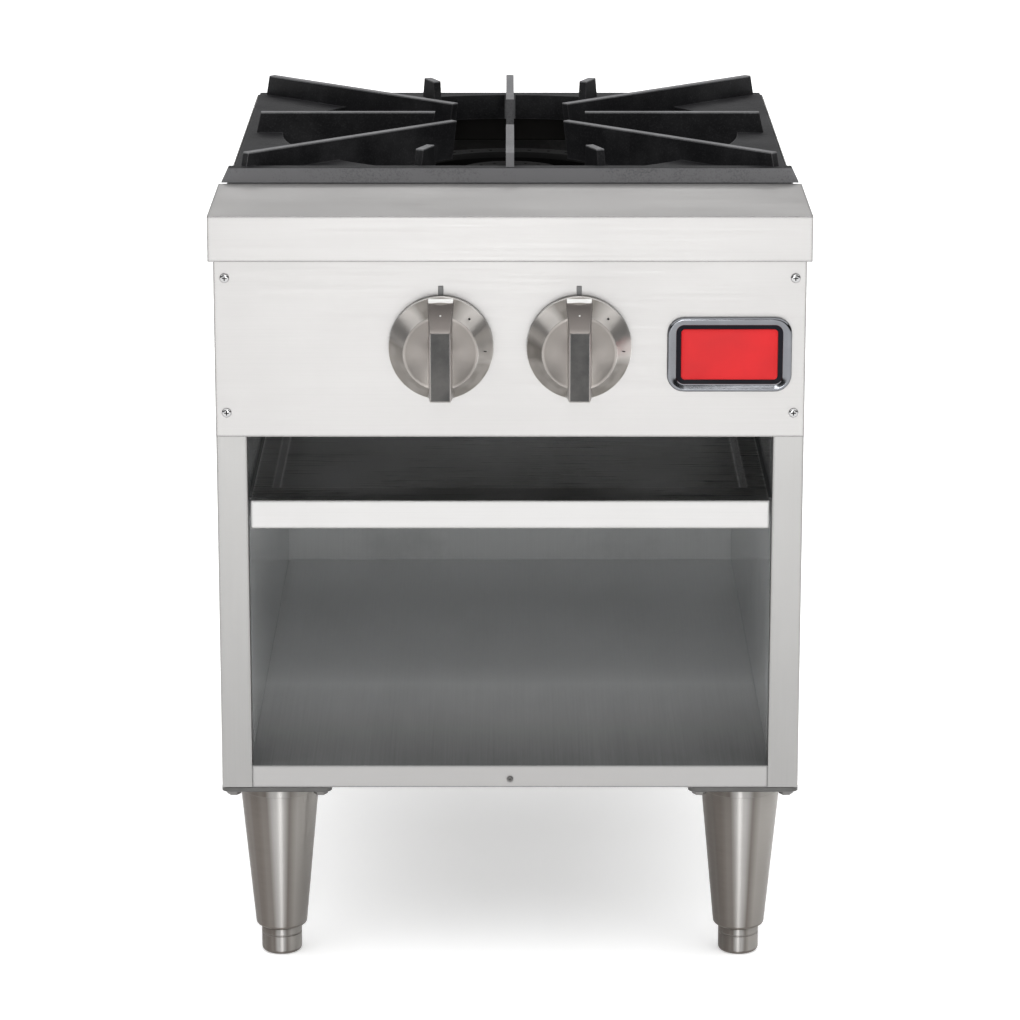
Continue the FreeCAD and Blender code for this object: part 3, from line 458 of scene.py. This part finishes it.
def chrome(name, colour):
    """Bright plating with a faint haze and hairline wipes."""
    shader = Shader(name)
    shader.set(Metallic=1.0)
    haze = shader.noise(shader.stretched(60, 60, 60), detail=6, rough=0.6)
    wipes = shader.noise(shader.stretched(300, 2000, 2000), detail=3)
    rough = shader.combine(shader.ramp(haze, 0.3, 0.7, 0.1, 0.18), shader.ramp(wipes, 0.4, 0.7, 0, 0.04))
    tint = shader.blend(shader.ramp(haze, 0.3, 0.7), darker(colour, 0.86), colour)
    return shader.finish(tint, rough, shader.bump(wipes, 0.02, 0.0001))


def enamel(name, colour, rough, gloss=0.3):
    """Enamel or paint with the faintest orange peel."""
    shader = Shader(name)
    shader.set(Metallic=0.0, Specular_IOR_Level=gloss)
    peel = shader.noise(shader.stretched(220, 220, 220), detail=2)
    cloud = shader.noise(shader.stretched(30, 30, 30), detail=4)
    deep = darker(colour, 0.85)
    dull = shader.ramp(cloud, 0.3, 0.7, rough, rough + 0.1)
    return shader.finish(shader.blend(shader.ramp(cloud, 0.3, 0.7), deep, colour), dull,
                         shader.bump(peel, 0.04, 0.0003))


def floor_material():
    """Pale matt studio floor that shines faintly, to soften the shadow under the range."""
    shader = Shader("pale_floor")
    shader.set(Specular_IOR_Level=0.1, Emission_Color=(1, 1, 1, 1), Emission_Strength=0.3)
    cloud = shader.noise(shader.stretched(0.8, 0.8, 0.8), detail=4)
    rough = shader.ramp(cloud, 0.3, 0.7, 0.75, 0.85)
    return shader.finish(shader.blend(cloud, (0.93, 0.93, 0.93), (0.95, 0.95, 0.95)), rough,
                         shader.bump(cloud, 0.01, 0.001))


# ---- dressing the CAD nodes ------------------------------------------------------------

def dress(name, material, edge, segments=2):
    """Give a CAD node its material and softly rounded edges."""
    piece = nodes[name]
    piece.data.materials.clear()
    piece.data.materials.append(material)
    weld = piece.modifiers.new("weld", "WELD")
    weld.merge_threshold = WELD_WITHIN
    flat = piece.modifiers.new("flat", "DECIMATE")
    flat.decimate_type = "DISSOLVE"
    flat.angle_limit = LEVEL_WITHIN
    bevel = piece.modifiers.new("edge", "BEVEL")
    bevel.width = edge
    bevel.segments = segments
    bevel.limit_method = "ANGLE"
    bevel.angle_limit = SHARP_FROM
    bevel.harden_normals = True


def dress_all():
    """Materials and edges of the CAD nodes that show as they are."""
    looks = {
        brushed("cap_steel", STEEL, ACROSS): ("top_cap", "control_panel"),
        brushed("lip_steel", LIP_STEEL, ACROSS): ("crumb_tray_front",),
        brushed("stainless_upright", POST_STEEL, UPRIGHT, low=LOW_BODY_SHADE):
            ("left_side_panel", "right_side_panel"),
        # The base rail's steel is the cap's darkened to 0.8, as painted shade low on the front.
        floor_steel("floor_steel", FLOOR_STEEL, darker(STEEL, 0.8), PANEL_FRONT, FLOOR_PALE_BACK):
            ("base_panel",),
        brushed("back_steel", BACK_STEEL, UPRIGHT, shade_heights=SHADE_FROM_TRAY, metal=0.5): ("back_panel",),
        brushed("wall_steel", WALL_STEEL, FRONT_TO_BACK, 0.2, 0.03, SHADE_FROM_TRAY, metal=0.6):
            ("left_side_liner", "right_side_liner"),
        # Painted highlight along the crumb tray's edges, 1.9 times its colour.
        brushed("tray_steel", TRAY_STEEL, ACROSS, 0.3, edge=1.9): ("crumb_tray",),
        brushed("inner_steel", INNER_STEEL, ACROSS): ("front_leg_channel", "rear_leg_channel"),
        brushed("rail_steel", darker(INNER_STEEL, 0.4), FRONT_TO_BACK):
            ("left_tray_rail", "right_tray_rail"),
        # Painted shade: the rails, baffle, burner supports, deck, pilot tip and air shutters in the chamber
        # are near black.
        brushed("chamber_shade_steel", CHAMBER_SHADE_STEEL, ACROSS, 0.5, 0.1):
            ("left_top_rail", "right_top_rail", "valve_baffle", "front_burner_support", "rear_deck",
             "rear_burner_support", "pilot_tip", "left_air_shutter", "right_air_shutter"),
        cast_iron("burner_iron", BURNER_IRON, BURNER_BARE, gloss=0.04): ("outer_burner", "inner_burner"),
        cast_iron("pipe_skin", PIPE_IRON, PIPE_BARE):
            ("gas_manifold", "manifold_cap", "manifold_elbow", "supply_pipe", "inlet_coupling",
             "gas_inlet"),
        machined("brass", BRASS, 0.22, 0.42):
            ("left_gas_valve", "right_gas_valve", "left_orifice_hood", "right_orifice_hood",
             "pilot_valve", "left_valve_stem", "right_valve_stem"),
        machined("aluminium", ALUMINIUM, 0.25, 0.4): ("pilot_tube",),
        machined("mark_grey", MARK_GREY, 0.5, 0.6): ("index_marks",),
    }
    for material, names in looks.items():
        for name in names:
            dress(name, material, SHEET_EDGE)
    worn = (GRATE_HIGH.z - RUBBED_DEPTH, GRATE_LOW.y + LIP_DEPTH)
    dress("top_grate", cast_iron("grate_iron", GRATE_IRON, GRATE_BARE_AND_LIT, worn), GRATE_EDGE, 3)


# ---- small helpers for shapes ----------------------------------------------------------

def add_piece(name, maker, material, body, covers=()):
    """Turn a mesh being made into a piece of the object that stands for some CAD nodes."""
    bmesh.ops.recalc_face_normals(maker, faces=maker.faces)
    for face in maker.faces:
        face.smooth = len(face.verts) <= 4
    for edge in maker.edges:
        edge.smooth = len(edge.link_faces) == 2 and edge.calc_face_angle() < SHARP_FROM
    mesh = bpy.data.meshes.new(name)
    maker.to_mesh(mesh)
    maker.free()
    mesh.materials.append(material)
    piece = bpy.data.objects.new(name, mesh)
    scene.collection.objects.link(piece)
    if covers:
        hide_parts(*covers)
    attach(piece, body)
    return piece


def lathe(maker, profile, matrix=Matrix(), steps=ROUND_STEPS):
    """Turn (radius, height) pairs about Z, and write each corner's place on the ring attribute."""
    ring_layer = maker.loops.layers.float_vector.get("ring") or maker.loops.layers.float_vector.new("ring")
    rows = []
    for radius, height in profile:
        count = steps if radius > 0 else 1
        turns = [math.tau * step / steps for step in range(count)]
        points = [Vector((radius * math.cos(turn), radius * math.sin(turn), height)) for turn in turns]
        rows.append([maker.verts.new(matrix @ point) for point in points])
    for (low, high), (start, end) in zip(zip(rows, rows[1:]), zip(profile, profile[1:])):
        for step in range(steps):
            after = step + 1
            corners = [(low, step, start), (low, after, start), (high, after, end), (high, step, end)]
            if len(low) == 1:
                corners.pop(0)
            if len(high) == 1:
                corners.pop()
            face = maker.faces.new([row[index % len(row)] for row, index, _ in corners])
            for loop, (_, index, (radius, height)) in zip(face.loops, corners):
                loop[ring_layer] = Vector((radius, math.tau * index / steps, height))


def soft_corner(radius, height, turn_from, turn_to, round_off, steps=4):
    """Points of a small arc in a lathe profile, round a middle at (radius, height)."""
    turns = [math.radians(turn_from + (turn_to - turn_from) * step / steps) for step in range(steps + 1)]
    return [(radius + round_off * math.cos(turn), height + round_off * math.sin(turn)) for turn in turns]


def round_rectangle(half_width, half_height, corner, steps=8):
    """Points round an upright rectangle with round corners, as (x, z) pairs."""
    points = []
    for across, up, start in ((1, 1, 0), (-1, 1, 90), (-1, -1, 180), (1, -1, 270)):
        middle = (across * (half_width - corner), up * (half_height - corner))
        for step in range(steps + 1):
            turn = math.radians(start + 90 * step / steps)
            points.append((middle[0] + corner * math.cos(turn), middle[1] + corner * math.sin(turn)))
    return points


def loft(maker, rows, capped=(False, False)):
    """Join rows of points, each with as many points as the next, into a skin."""
    made = [[maker.verts.new(point) for point in row] for row in rows]
    for low, high in zip(made, made[1:]):
        for index in range(len(low)):
            after = (index + 1) % len(low)
            maker.faces.new((low[index], low[after], high[after], high[index]))
    for row, wanted in zip((made[0], made[-1]), capped):
        if wanted:
            maker.faces.new(row)


def facing_front(x, y, z):
    """Where a shape made along Z stands when it looks out to the front from a point."""
    return Matrix.Translation((x, y, z)) @ Matrix.Rotation(math.radians(90), 4, "X")


def box_and_middle(node):
    """The low and high corners of a CAD node's box, and its middle."""
    low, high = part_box(node)
    return low, high, (low + high) / 2


# ---- knobs -----------------------------------------------------------------------------

def knob_dial(hand, material):
    """Spun dial: rounded skirt, a groove, the cone, and a flat face with a soft edge."""
    low, high, middle = box_and_middle(f"{hand}_knob")
    radius = (high.x - low.x) / 2
    rim, groove = radius - 0.6 * MM, radius - 0.7 * MM
    cone_foot = Vector((radius - 0.9 * MM, KNOB_SKIRT + 0.5 * MM))
    cone_top = Vector((KNOB_FACE + 0.6 * MM, KNOB_RISE - 0.8 * MM))
    profile = [(0, 0), (rim, 0)]
    profile += soft_corner(rim, 0.6 * MM, -90, 0, 0.6 * MM)
    profile += [(radius, KNOB_SKIRT - 1.6 * MM), (groove, KNOB_SKIRT - 1.2 * MM),
                (groove, KNOB_SKIRT - 0.6 * MM), (radius - 0.2 * MM, KNOB_SKIRT - 0.2 * MM)]
    for step in range(CONE_STEPS):
        share = step / CONE_STEPS
        sag = CONE_DIP * math.sin(math.pi * share)
        point = cone_foot.lerp(cone_top, share)
        profile.append((point.x - sag, point.y - sag))
    profile += soft_corner(KNOB_FACE - 0.4 * MM, cone_top.y, 10, 90, 0.8 * MM)
    profile += [(KNOB_FACE - 2.2 * MM, KNOB_RISE - 0.1 * MM), (KNOB_FACE - 3 * MM, KNOB_RISE - 0.5 * MM),
                (0, KNOB_RISE - 0.5 * MM)]
    maker = bmesh.new()
    lathe(maker, profile, facing_front(middle.x, high.y, middle.z))
    add_piece(f"{hand}_knob_dial", maker, material, f"{hand}_knob_and_stem", [f"{hand}_knob"])


def knob_bar(hand, material):
    """Bar across the dial, wider at its foot, with a long slope at its upper end."""
    low, high, middle = box_and_middle(f"{hand}_knob_grip")
    reach = high.y - low.y
    root = (high.z - low.z) / 2
    corner = 1.0 * MM
    layers = [(reach * step / BAR_STEPS, 0.0) for step in range(BAR_STEPS - 1)]
    layers += [(reach - corner + corner * math.sin(turn), corner * (1 - math.cos(turn)))
               for turn in (0.0, 0.4, 0.8, 1.2, math.pi / 2)]
    rows = []
    for out, inset in layers:
        share = out / reach
        top = root + (GRIP_FRONT_TOP - root) * share - inset
        bottom = -root + (root - GRIP_FRONT_BOTTOM) * share + inset
        centre = (top + bottom) / 2
        half_width = (GRIP_FOOT_WIDTH + (GRIP_WIDTH - GRIP_FOOT_WIDTH) * share) / 2 - inset
        outline = round_rectangle(half_width, (top - bottom) / 2, corner, 4)
        rows.append([(middle.x + x, high.y - out, middle.z + centre + z) for x, z in outline])
    maker = bmesh.new()
    loft(maker, rows, (True, True))
    add_piece(f"{hand}_knob_bar", maker, material, f"{hand}_knob_and_stem",
              [f"{hand}_knob_grip"])


def knob_pointer(hand, material):
    """Light pointer across the bar's upper end, and a small dot on its slope."""
    low, high, middle = box_and_middle(f"{hand}_knob_grip")
    back = high.y + 1.0 * MM
    maker = bmesh.new()
    rows = []
    for out, inset in ((0, 0), (4.4 * MM, 0), (5.0 * MM, 0.5 * MM)):
        outline = round_rectangle(POINTER_WIDTH / 2 - inset, POINTER_HEIGHT / 2 - inset, 0.7 * MM, 4)
        rows.append([(middle.x + x, back - out, middle.z + POINTER_UP + z) for x, z in outline])
    loft(maker, rows, (True, True))
    reach, fall = high.y - low.y, (high.z - low.z) / 2 - GRIP_FRONT_TOP
    dot = (Matrix.Translation((middle.x, high.y - reach / 2, high.z - fall / 2))
           @ Matrix.Rotation(math.atan2(fall, reach), 4, "X"))
    lathe(maker, [(0, -0.2 * MM), (0.7 * MM, -0.2 * MM), (0.7 * MM, 0.15 * MM), (0, 0.15 * MM)], dot, 16)
    add_piece(f"{hand}_knob_pointer", maker, material, f"{hand}_knob_and_stem")


def dial_marks(hand, material):
    """A dot and a line on the right of the cone, 41 and 90 degrees round from the top."""
    low, high, middle = box_and_middle(f"{hand}_knob")
    skirt_radius = (high.x - low.x) / 2
    slope = math.atan2(KNOB_RISE - KNOB_SKIRT, skirt_radius - KNOB_FACE)
    out = KNOB_SKIRT + MARK_SHARE * (KNOB_RISE - KNOB_SKIRT)
    radius = skirt_radius + MARK_SHARE * (KNOB_FACE - skirt_radius) - 0.9 * MM
    maker = bmesh.new()
    for turn, length, half_width in ((41, 1.3 * MM, 0.8 * MM), (90, 2.4 * MM, 0.35 * MM)):
        place = (facing_front(middle.x, high.y, middle.z)
                 @ Matrix.Rotation(math.radians(90 - turn), 4, "Z")
                 @ Matrix.Translation((radius, 0, out))
                 @ Matrix.Rotation(slope, 4, "Y"))
        outline = round_rectangle(length, half_width, 0.3 * MM, 3)
        rows = [[place @ Vector((-lift, z, x)) for x, z in outline] for lift in (0.3 * MM, -0.35 * MM)]
        loft(maker, rows, (True, True))
    add_piece(f"{hand}_dial_marks", maker, material, f"{hand}_knob_and_stem")


# ---- badge -----------------------------------------------------------------------------

def badge_rows(middle, back, steps):
    """Rows of points for a skin, from (half width, half height, corner, out) steps in mm."""
    return [[(middle.x + x, back - out, middle.z + z) for x, z in round_rectangle(width, height, corner)]
            for width, height, corner, out in ([part * MM for part in step] for step in steps)]


def badge_pieces(rim, border, plate):
    """Bright bevelled rim, dark border inside it, and a domed plate with nothing on it."""
    _, high, middle = box_and_middle("badge_bezel")
    maker = bmesh.new()
    loft(maker, badge_rows(middle, high.y, [
        (47.5, 29.0, 13.0, 0.0), (47.5, 29.0, 13.0, 2.0), (47.2, 28.7, 12.7, 3.0), (46.5, 28.0, 12.1, 3.7),
        (45.6, 27.2, 11.4, 3.95), (44.9, 26.5, 10.8, 3.9), (41.3, 23.5, 6.8, 3.0), (40.7, 23.0, 6.2, 2.7),
        (40.4, 22.7, 5.9, 2.2), (40.4, 22.7, 5.9, 0.2)]))
    add_piece("badge_bevelled_rim", maker, rim, "cabinet", ["badge_bezel"])
    maker = bmesh.new()
    loft(maker, badge_rows(middle, high.y, [
        (40.45, 22.75, 5.7, 0.2), (40.45, 22.75, 5.7, 1.9), (36.9, 19.7, 3.2, 1.6), (36.7, 19.5, 3.0, 0.4)]))
    add_piece("badge_dark_border", maker, border, "cabinet")
    maker = bmesh.new()
    dome = [(36.8, 19.6, 3.1, 0.3), (36.8, 19.6, 3.1, 1.7), (36.4, 19.2, 2.8, 2.2), (35.6, 18.4, 2.5, 2.6),
            (33.5, 16.5, 2.2, 2.9), (28.0, 12.0, 2.0, 3.15), (18.0, 6.0, 1.5, 3.3)]
    loft(maker, badge_rows(middle, high.y, dome), (True, True))
    add_piece("badge_domed_plate", maker, plate, "cabinet", ["badge_plate"])


# ---- screws and bolts ------------------------------------------------------------------

def cross_screw(maker, place, radius, rise):
    """Domed head with a cross recess, standing out along the place's Z."""
    flat = radius * 0.66
    profile = [(radius, 0), (radius, rise * 0.3), (radius * 0.93, rise * 0.62), (radius * 0.82, rise * 0.85),
               (flat, rise)]
    lathe(maker, profile, place, SCREW_STEPS)
    arm, half = radius * 0.5, radius * 0.12
    cross = [(half, arm), (half, half), (arm, half), (arm, -half), (half, -half), (half, -arm),
             (-half, -arm), (-half, -half), (-arm, -half), (-arm, half), (-half, half), (-half, arm)]
    turns = [math.tau * step / SCREW_STEPS for step in range(SCREW_STEPS)]
    rim = [(flat * math.cos(turn), flat * math.sin(turn)) for turn in turns]
    rings = {}
    for name, height, shape in (("rim", rise, rim), ("mouth", rise, cross), ("bottom", rise * 0.45, cross)):
        rings[name] = [maker.verts.new(place @ Vector((x, y, height))) for x, y in shape]
    edges = [maker.edges.new((ring[index], ring[(index + 1) % len(ring)]))
             for ring in (rings["rim"], rings["mouth"]) for index in range(len(ring))]
    bmesh.ops.triangle_fill(maker, edges=edges, use_beauty=True)
    for index in range(len(cross)):
        after = (index + 1) % len(cross)
        wall = maker.faces.new((rings["mouth"][index], rings["mouth"][after], rings["bottom"][after],
                                rings["bottom"][index]))
        wall.material_index = 1
    maker.faces.new(rings["bottom"]).material_index = 1


def screws(material, recess, base_material):
    """Four screws in the control panel's corners, and the small one in the base rail."""
    low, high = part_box("panel_screws")
    rise = high.y - low.y
    base_low, base_high, base = box_and_middle("base_screw")
    radius = (base_high.x - base_low.x) / 2
    maker = bmesh.new()
    for x in (low.x + radius, high.x - radius):
        for z in (low.z + radius, high.z - radius):
            cross_screw(maker, facing_front(x, high.y, z), radius, rise)
    bmesh.ops.remove_doubles(maker, verts=maker.verts, dist=WELD_WITHIN)
    heads = add_piece("panel_cross_screws", maker, material, "cabinet", ["panel_screws"])
    heads.data.materials.append(recess)
    maker = bmesh.new()
    cross_screw(maker, facing_front(base.x, base_high.y, base.z), radius * 0.6, rise * 0.6)
    bmesh.ops.remove_doubles(maker, verts=maker.verts, dist=WELD_WITHIN)
    head = add_piece("base_cross_screw", maker, base_material, "cabinet", ["base_screw"])
    head.data.materials.append(recess)


def leg_bolt_heads(material):
    """Hexagon heads on washers, four under each leg's plate."""
    low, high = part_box("leg_bolts")
    rise = high.z - low.z
    radius = BOLT_RADIUS
    washer = rise * 0.28
    maker = bmesh.new()
    for foot in FEET:
        _, _, leg = box_and_middle(f"{foot}_leg")
        for across in (-1, 1):
            for deep in (-1, 1):
                head = (leg.x + across * BOLT_SPREAD, leg.y + deep * BOLT_SPREAD, high.z)
                place = Matrix.Translation(head) @ Matrix.Rotation(math.pi, 4, "X")
                lathe(maker, [(0, 0), (radius, 0), (radius, washer), (radius * 0.8, washer)], place, 32)
                lathe(maker, [(radius * 0.86, washer), (radius * 0.86, rise * 0.86), (radius * 0.72, rise),
                              (0, rise)], place, 6)
    add_piece("leg_hex_bolts", maker, material, "cabinet", ["leg_bolts"])


# ---- legs and feet ---------------------------------------------------------------------

def leg_piece(foot, material, plate_material):
    """Tapered spun leg with a soft lower end and a low collar, under a square plate."""
    low, high, middle = box_and_middle(f"{foot}_leg")
    top = high.z - LEG_PLATE_WALL
    bottom = low.z
    profile = [(8.2 * MM, bottom + 1 * MM), (LEG_LOWER_RADIUS - 3 * MM, bottom + 0.6 * MM),
               (LEG_LOWER_RADIUS - 2.6 * MM, bottom)]
    profile += soft_corner(LEG_LOWER_RADIUS - 2.6 * MM, bottom + 2.6 * MM, -90, -5, 2.6 * MM)
    collar = top - LEG_COLLAR
    profile += [(LEG_UPPER_RADIUS - 0.3 * MM, collar), (LEG_UPPER_RADIUS + 0.2 * MM, collar),
                (LEG_UPPER_RADIUS + 0.3 * MM, top), (LEG_UPPER_RADIUS - 6 * MM, top)]
    maker = bmesh.new()
    lathe(maker, profile, Matrix.Translation((middle.x, middle.y, 0)))
    add_piece(f"{foot}_spun_leg", maker, material, "cabinet", [f"{foot}_leg"])
    half = (high.x - low.x) / 2
    maker = bmesh.new()
    rows = []
    for height, inset in ((top + 0.05 * MM, 0.8 * MM), (top + 0.8 * MM, 0), (high.z - 0.2 * MM, 0),
                          (high.z - 0.05 * MM, 0.4 * MM)):
        outline = round_rectangle(half - inset, half - inset, 5 * MM)
        rows.append([(middle.x + x, middle.y + y, height) for x, y in outline])
    loft(maker, rows, (True, True))
    add_piece(f"{foot}_leg_plate", maker, plate_material, "cabinet")


def foot_piece(foot, material):
    """Round adjustable foot with soft edges and a fine groove, and its stem."""
    low, high, middle = box_and_middle(f"{foot}_foot")
    radius = (high.x - low.x) / 2
    pad = FOOT_PAD
    profile = [(0, 0), (radius - 3.4 * MM, 0)]
    profile += soft_corner(radius - 3.4 * MM, 3.4 * MM, -90, 0, 3.4 * MM, 6)
    profile += [(radius, pad - 7 * MM), (radius - 0.5 * MM, pad - 6.6 * MM),
                (radius - 0.5 * MM, pad - 6 * MM), (radius, pad - 5.6 * MM)]
    profile += soft_corner(radius - 1 * MM, pad - 1 * MM, 0, 90, 1 * MM)
    profile += [(8 * MM, pad), (8 * MM, high.z - 1 * MM), (7 * MM, high.z), (0, high.z)]
    maker = bmesh.new()
    lathe(maker, profile, Matrix.Translation((middle.x, middle.y, 0)))
    add_piece(f"{foot}_round_foot", maker, material, f"{foot}_screw_foot", [f"{foot}_foot"])


def add_pieces():
    """Every piece with more detail than its CAD node."""
    # The dial's bright, front and rim colours hold its painted highlights.
    dial = spun("spun_dial", colour=(0.24, 0.223, 0.205), bright=(0.56, 0.535, 0.51),
                front=(0.325, 0.302, 0.284), rim=(0.85, 0.84, 0.83), axis="Y", rough=0.36)
    # The bar's face and slope colours are painted shade.
    bar = bar_metal("bar_metal", colour=(0.36, 0.335, 0.32), face_shade=(0.035, 0.035, 0.035),
                    slope_shade=(0.215, 0.195, 0.183))
    pointer = enamel("pointer_white", POINTER_WHITE, 0.4)
    ink = enamel("mark_ink", MARK_INK, 0.5, 0.1)
    for hand in HANDS:
        knob_dial(hand, dial)
        knob_bar(hand, bar)
        knob_pointer(hand, pointer)
        dial_marks(hand, ink)
    badge_pieces(chrome("badge_chrome", BADGE_CHROME), enamel("border_black", BORDER_BLACK, 0.3, 0.1),
                 enamel("plate_red", PLATE_RED, 0.35, 0.15))
    zinc = machined("bolt_zinc", BOLT_ZINC, 0.3, 0.5)
    recess = enamel("recess_shadow", RECESS_SHADOW, 0.5, 0.1)
    screws(chrome("screw_plating", SCREW_PLATING), recess, zinc)
    leg_bolt_heads(zinc)
    # The leg's bright, front and rim colours hold its painted highlights.
    leg_steel = spun("spun_leg_steel", colour=(0.18, 0.16, 0.144), bright=(0.35, 0.333, 0.312),
                     front=(0.43, 0.418, 0.406), rim=(0.27, 0.255, 0.24), axis="Z", rough=0.4)
    plate_steel = machined("leg_plate_steel", LEG_PLATE_STEEL, 0.35, 0.5)
    for foot in FEET:
        leg_piece(foot, leg_steel, plate_steel)
        foot_piece(foot, leg_steel)


# ---- stage -----------------------------------------------------------------------------

# The floor reaches this far each way. The surroundings grow from the lower strength at the
# horizon to the upper one where a direction's height reaches the last value.
FLOOR_REACH = 20
HORIZON_STRENGTH = 0.75
UPPER_STRENGTH = 1.35
UPPER_FROM = 0.7

# Where each soft light stands, where it points, its width and height, and its watts.
LIGHTS = {
    "top_light": ((0, 1.0, 5.0), (0, 1.0, 0), (18.0, 16.0), 1600),
    "front_light": ((0, -4.4, 1.5), (0, -0.3, 0.4), (0.5, 2.4), 30),
    "low_light": ((0, -4.4, 0.3), (0, -0.3, 0.1), (0.5, 0.5), 9),
}


def add_camera():
    """Camera in front, looking down at the range."""
    data = bpy.data.cameras.new("camera")
    data.lens = CAMERA_LENS
    data.sensor_width = CAMERA_SENSOR
    data.clip_end = CAMERA_REACH
    camera = bpy.data.objects.new("camera", data)
    camera.location = (0, CAP_LOW.y - CAMERA_AWAY, CAP_HIGH.z + CAMERA_ABOVE)
    camera.rotation_euler = (math.radians(90 - CAMERA_PITCH), 0, 0)
    scene.collection.objects.link(camera)
    scene.camera = camera


def add_floor():
    """A wide pale floor."""
    mesh = bpy.data.meshes.new("floor")
    maker = bmesh.new()
    bmesh.ops.create_grid(maker, x_segments=1, y_segments=1, size=FLOOR_REACH)
    maker.to_mesh(mesh)
    maker.free()
    floor = bpy.data.objects.new("floor", mesh)
    mesh.materials.append(floor_material())
    scene.collection.objects.link(floor)


def add_softbox(name, place, target, size, power):
    """A large soft light that points at a target."""
    data = bpy.data.lights.new(name, "AREA")
    data.shape = "RECTANGLE"
    data.size, data.size_y = size
    data.energy = power
    light = bpy.data.objects.new(name, data)
    light.location = place
    light.rotation_euler = (Vector(target) - Vector(place)).to_track_quat("-Z", "Y").to_euler()
    scene.collection.objects.link(light)


def add_world():
    """Even studio surroundings, bright above and greyer low down."""
    world = bpy.data.worlds.new("studio")
    world.use_nodes = True
    tree = world.node_tree
    back = tree.nodes["Background"]
    where = tree.nodes.new("ShaderNodeTexCoord")
    split = tree.nodes.new("ShaderNodeSeparateXYZ")
    height = tree.nodes.new("ShaderNodeMapRange")
    height.inputs["From Min"].default_value = 0.0
    height.inputs["From Max"].default_value = UPPER_FROM
    height.inputs["To Min"].default_value = HORIZON_STRENGTH
    height.inputs["To Max"].default_value = UPPER_STRENGTH
    tree.links.new(where.outputs["Generated"], split.inputs["Vector"])
    tree.links.new(split.outputs["Z"], height.inputs["Value"])
    tree.links.new(height.outputs["Result"], back.inputs["Strength"])
    scene.world = world


def add_stage():
    """Floor, lights, surroundings and camera."""
    add_floor()
    add_world()
    for name, light in LIGHTS.items():
        add_softbox(name, *light)
    add_camera()
    scene.view_settings.view_transform = "Standard"


dress_all()
add_pieces()
add_stage()
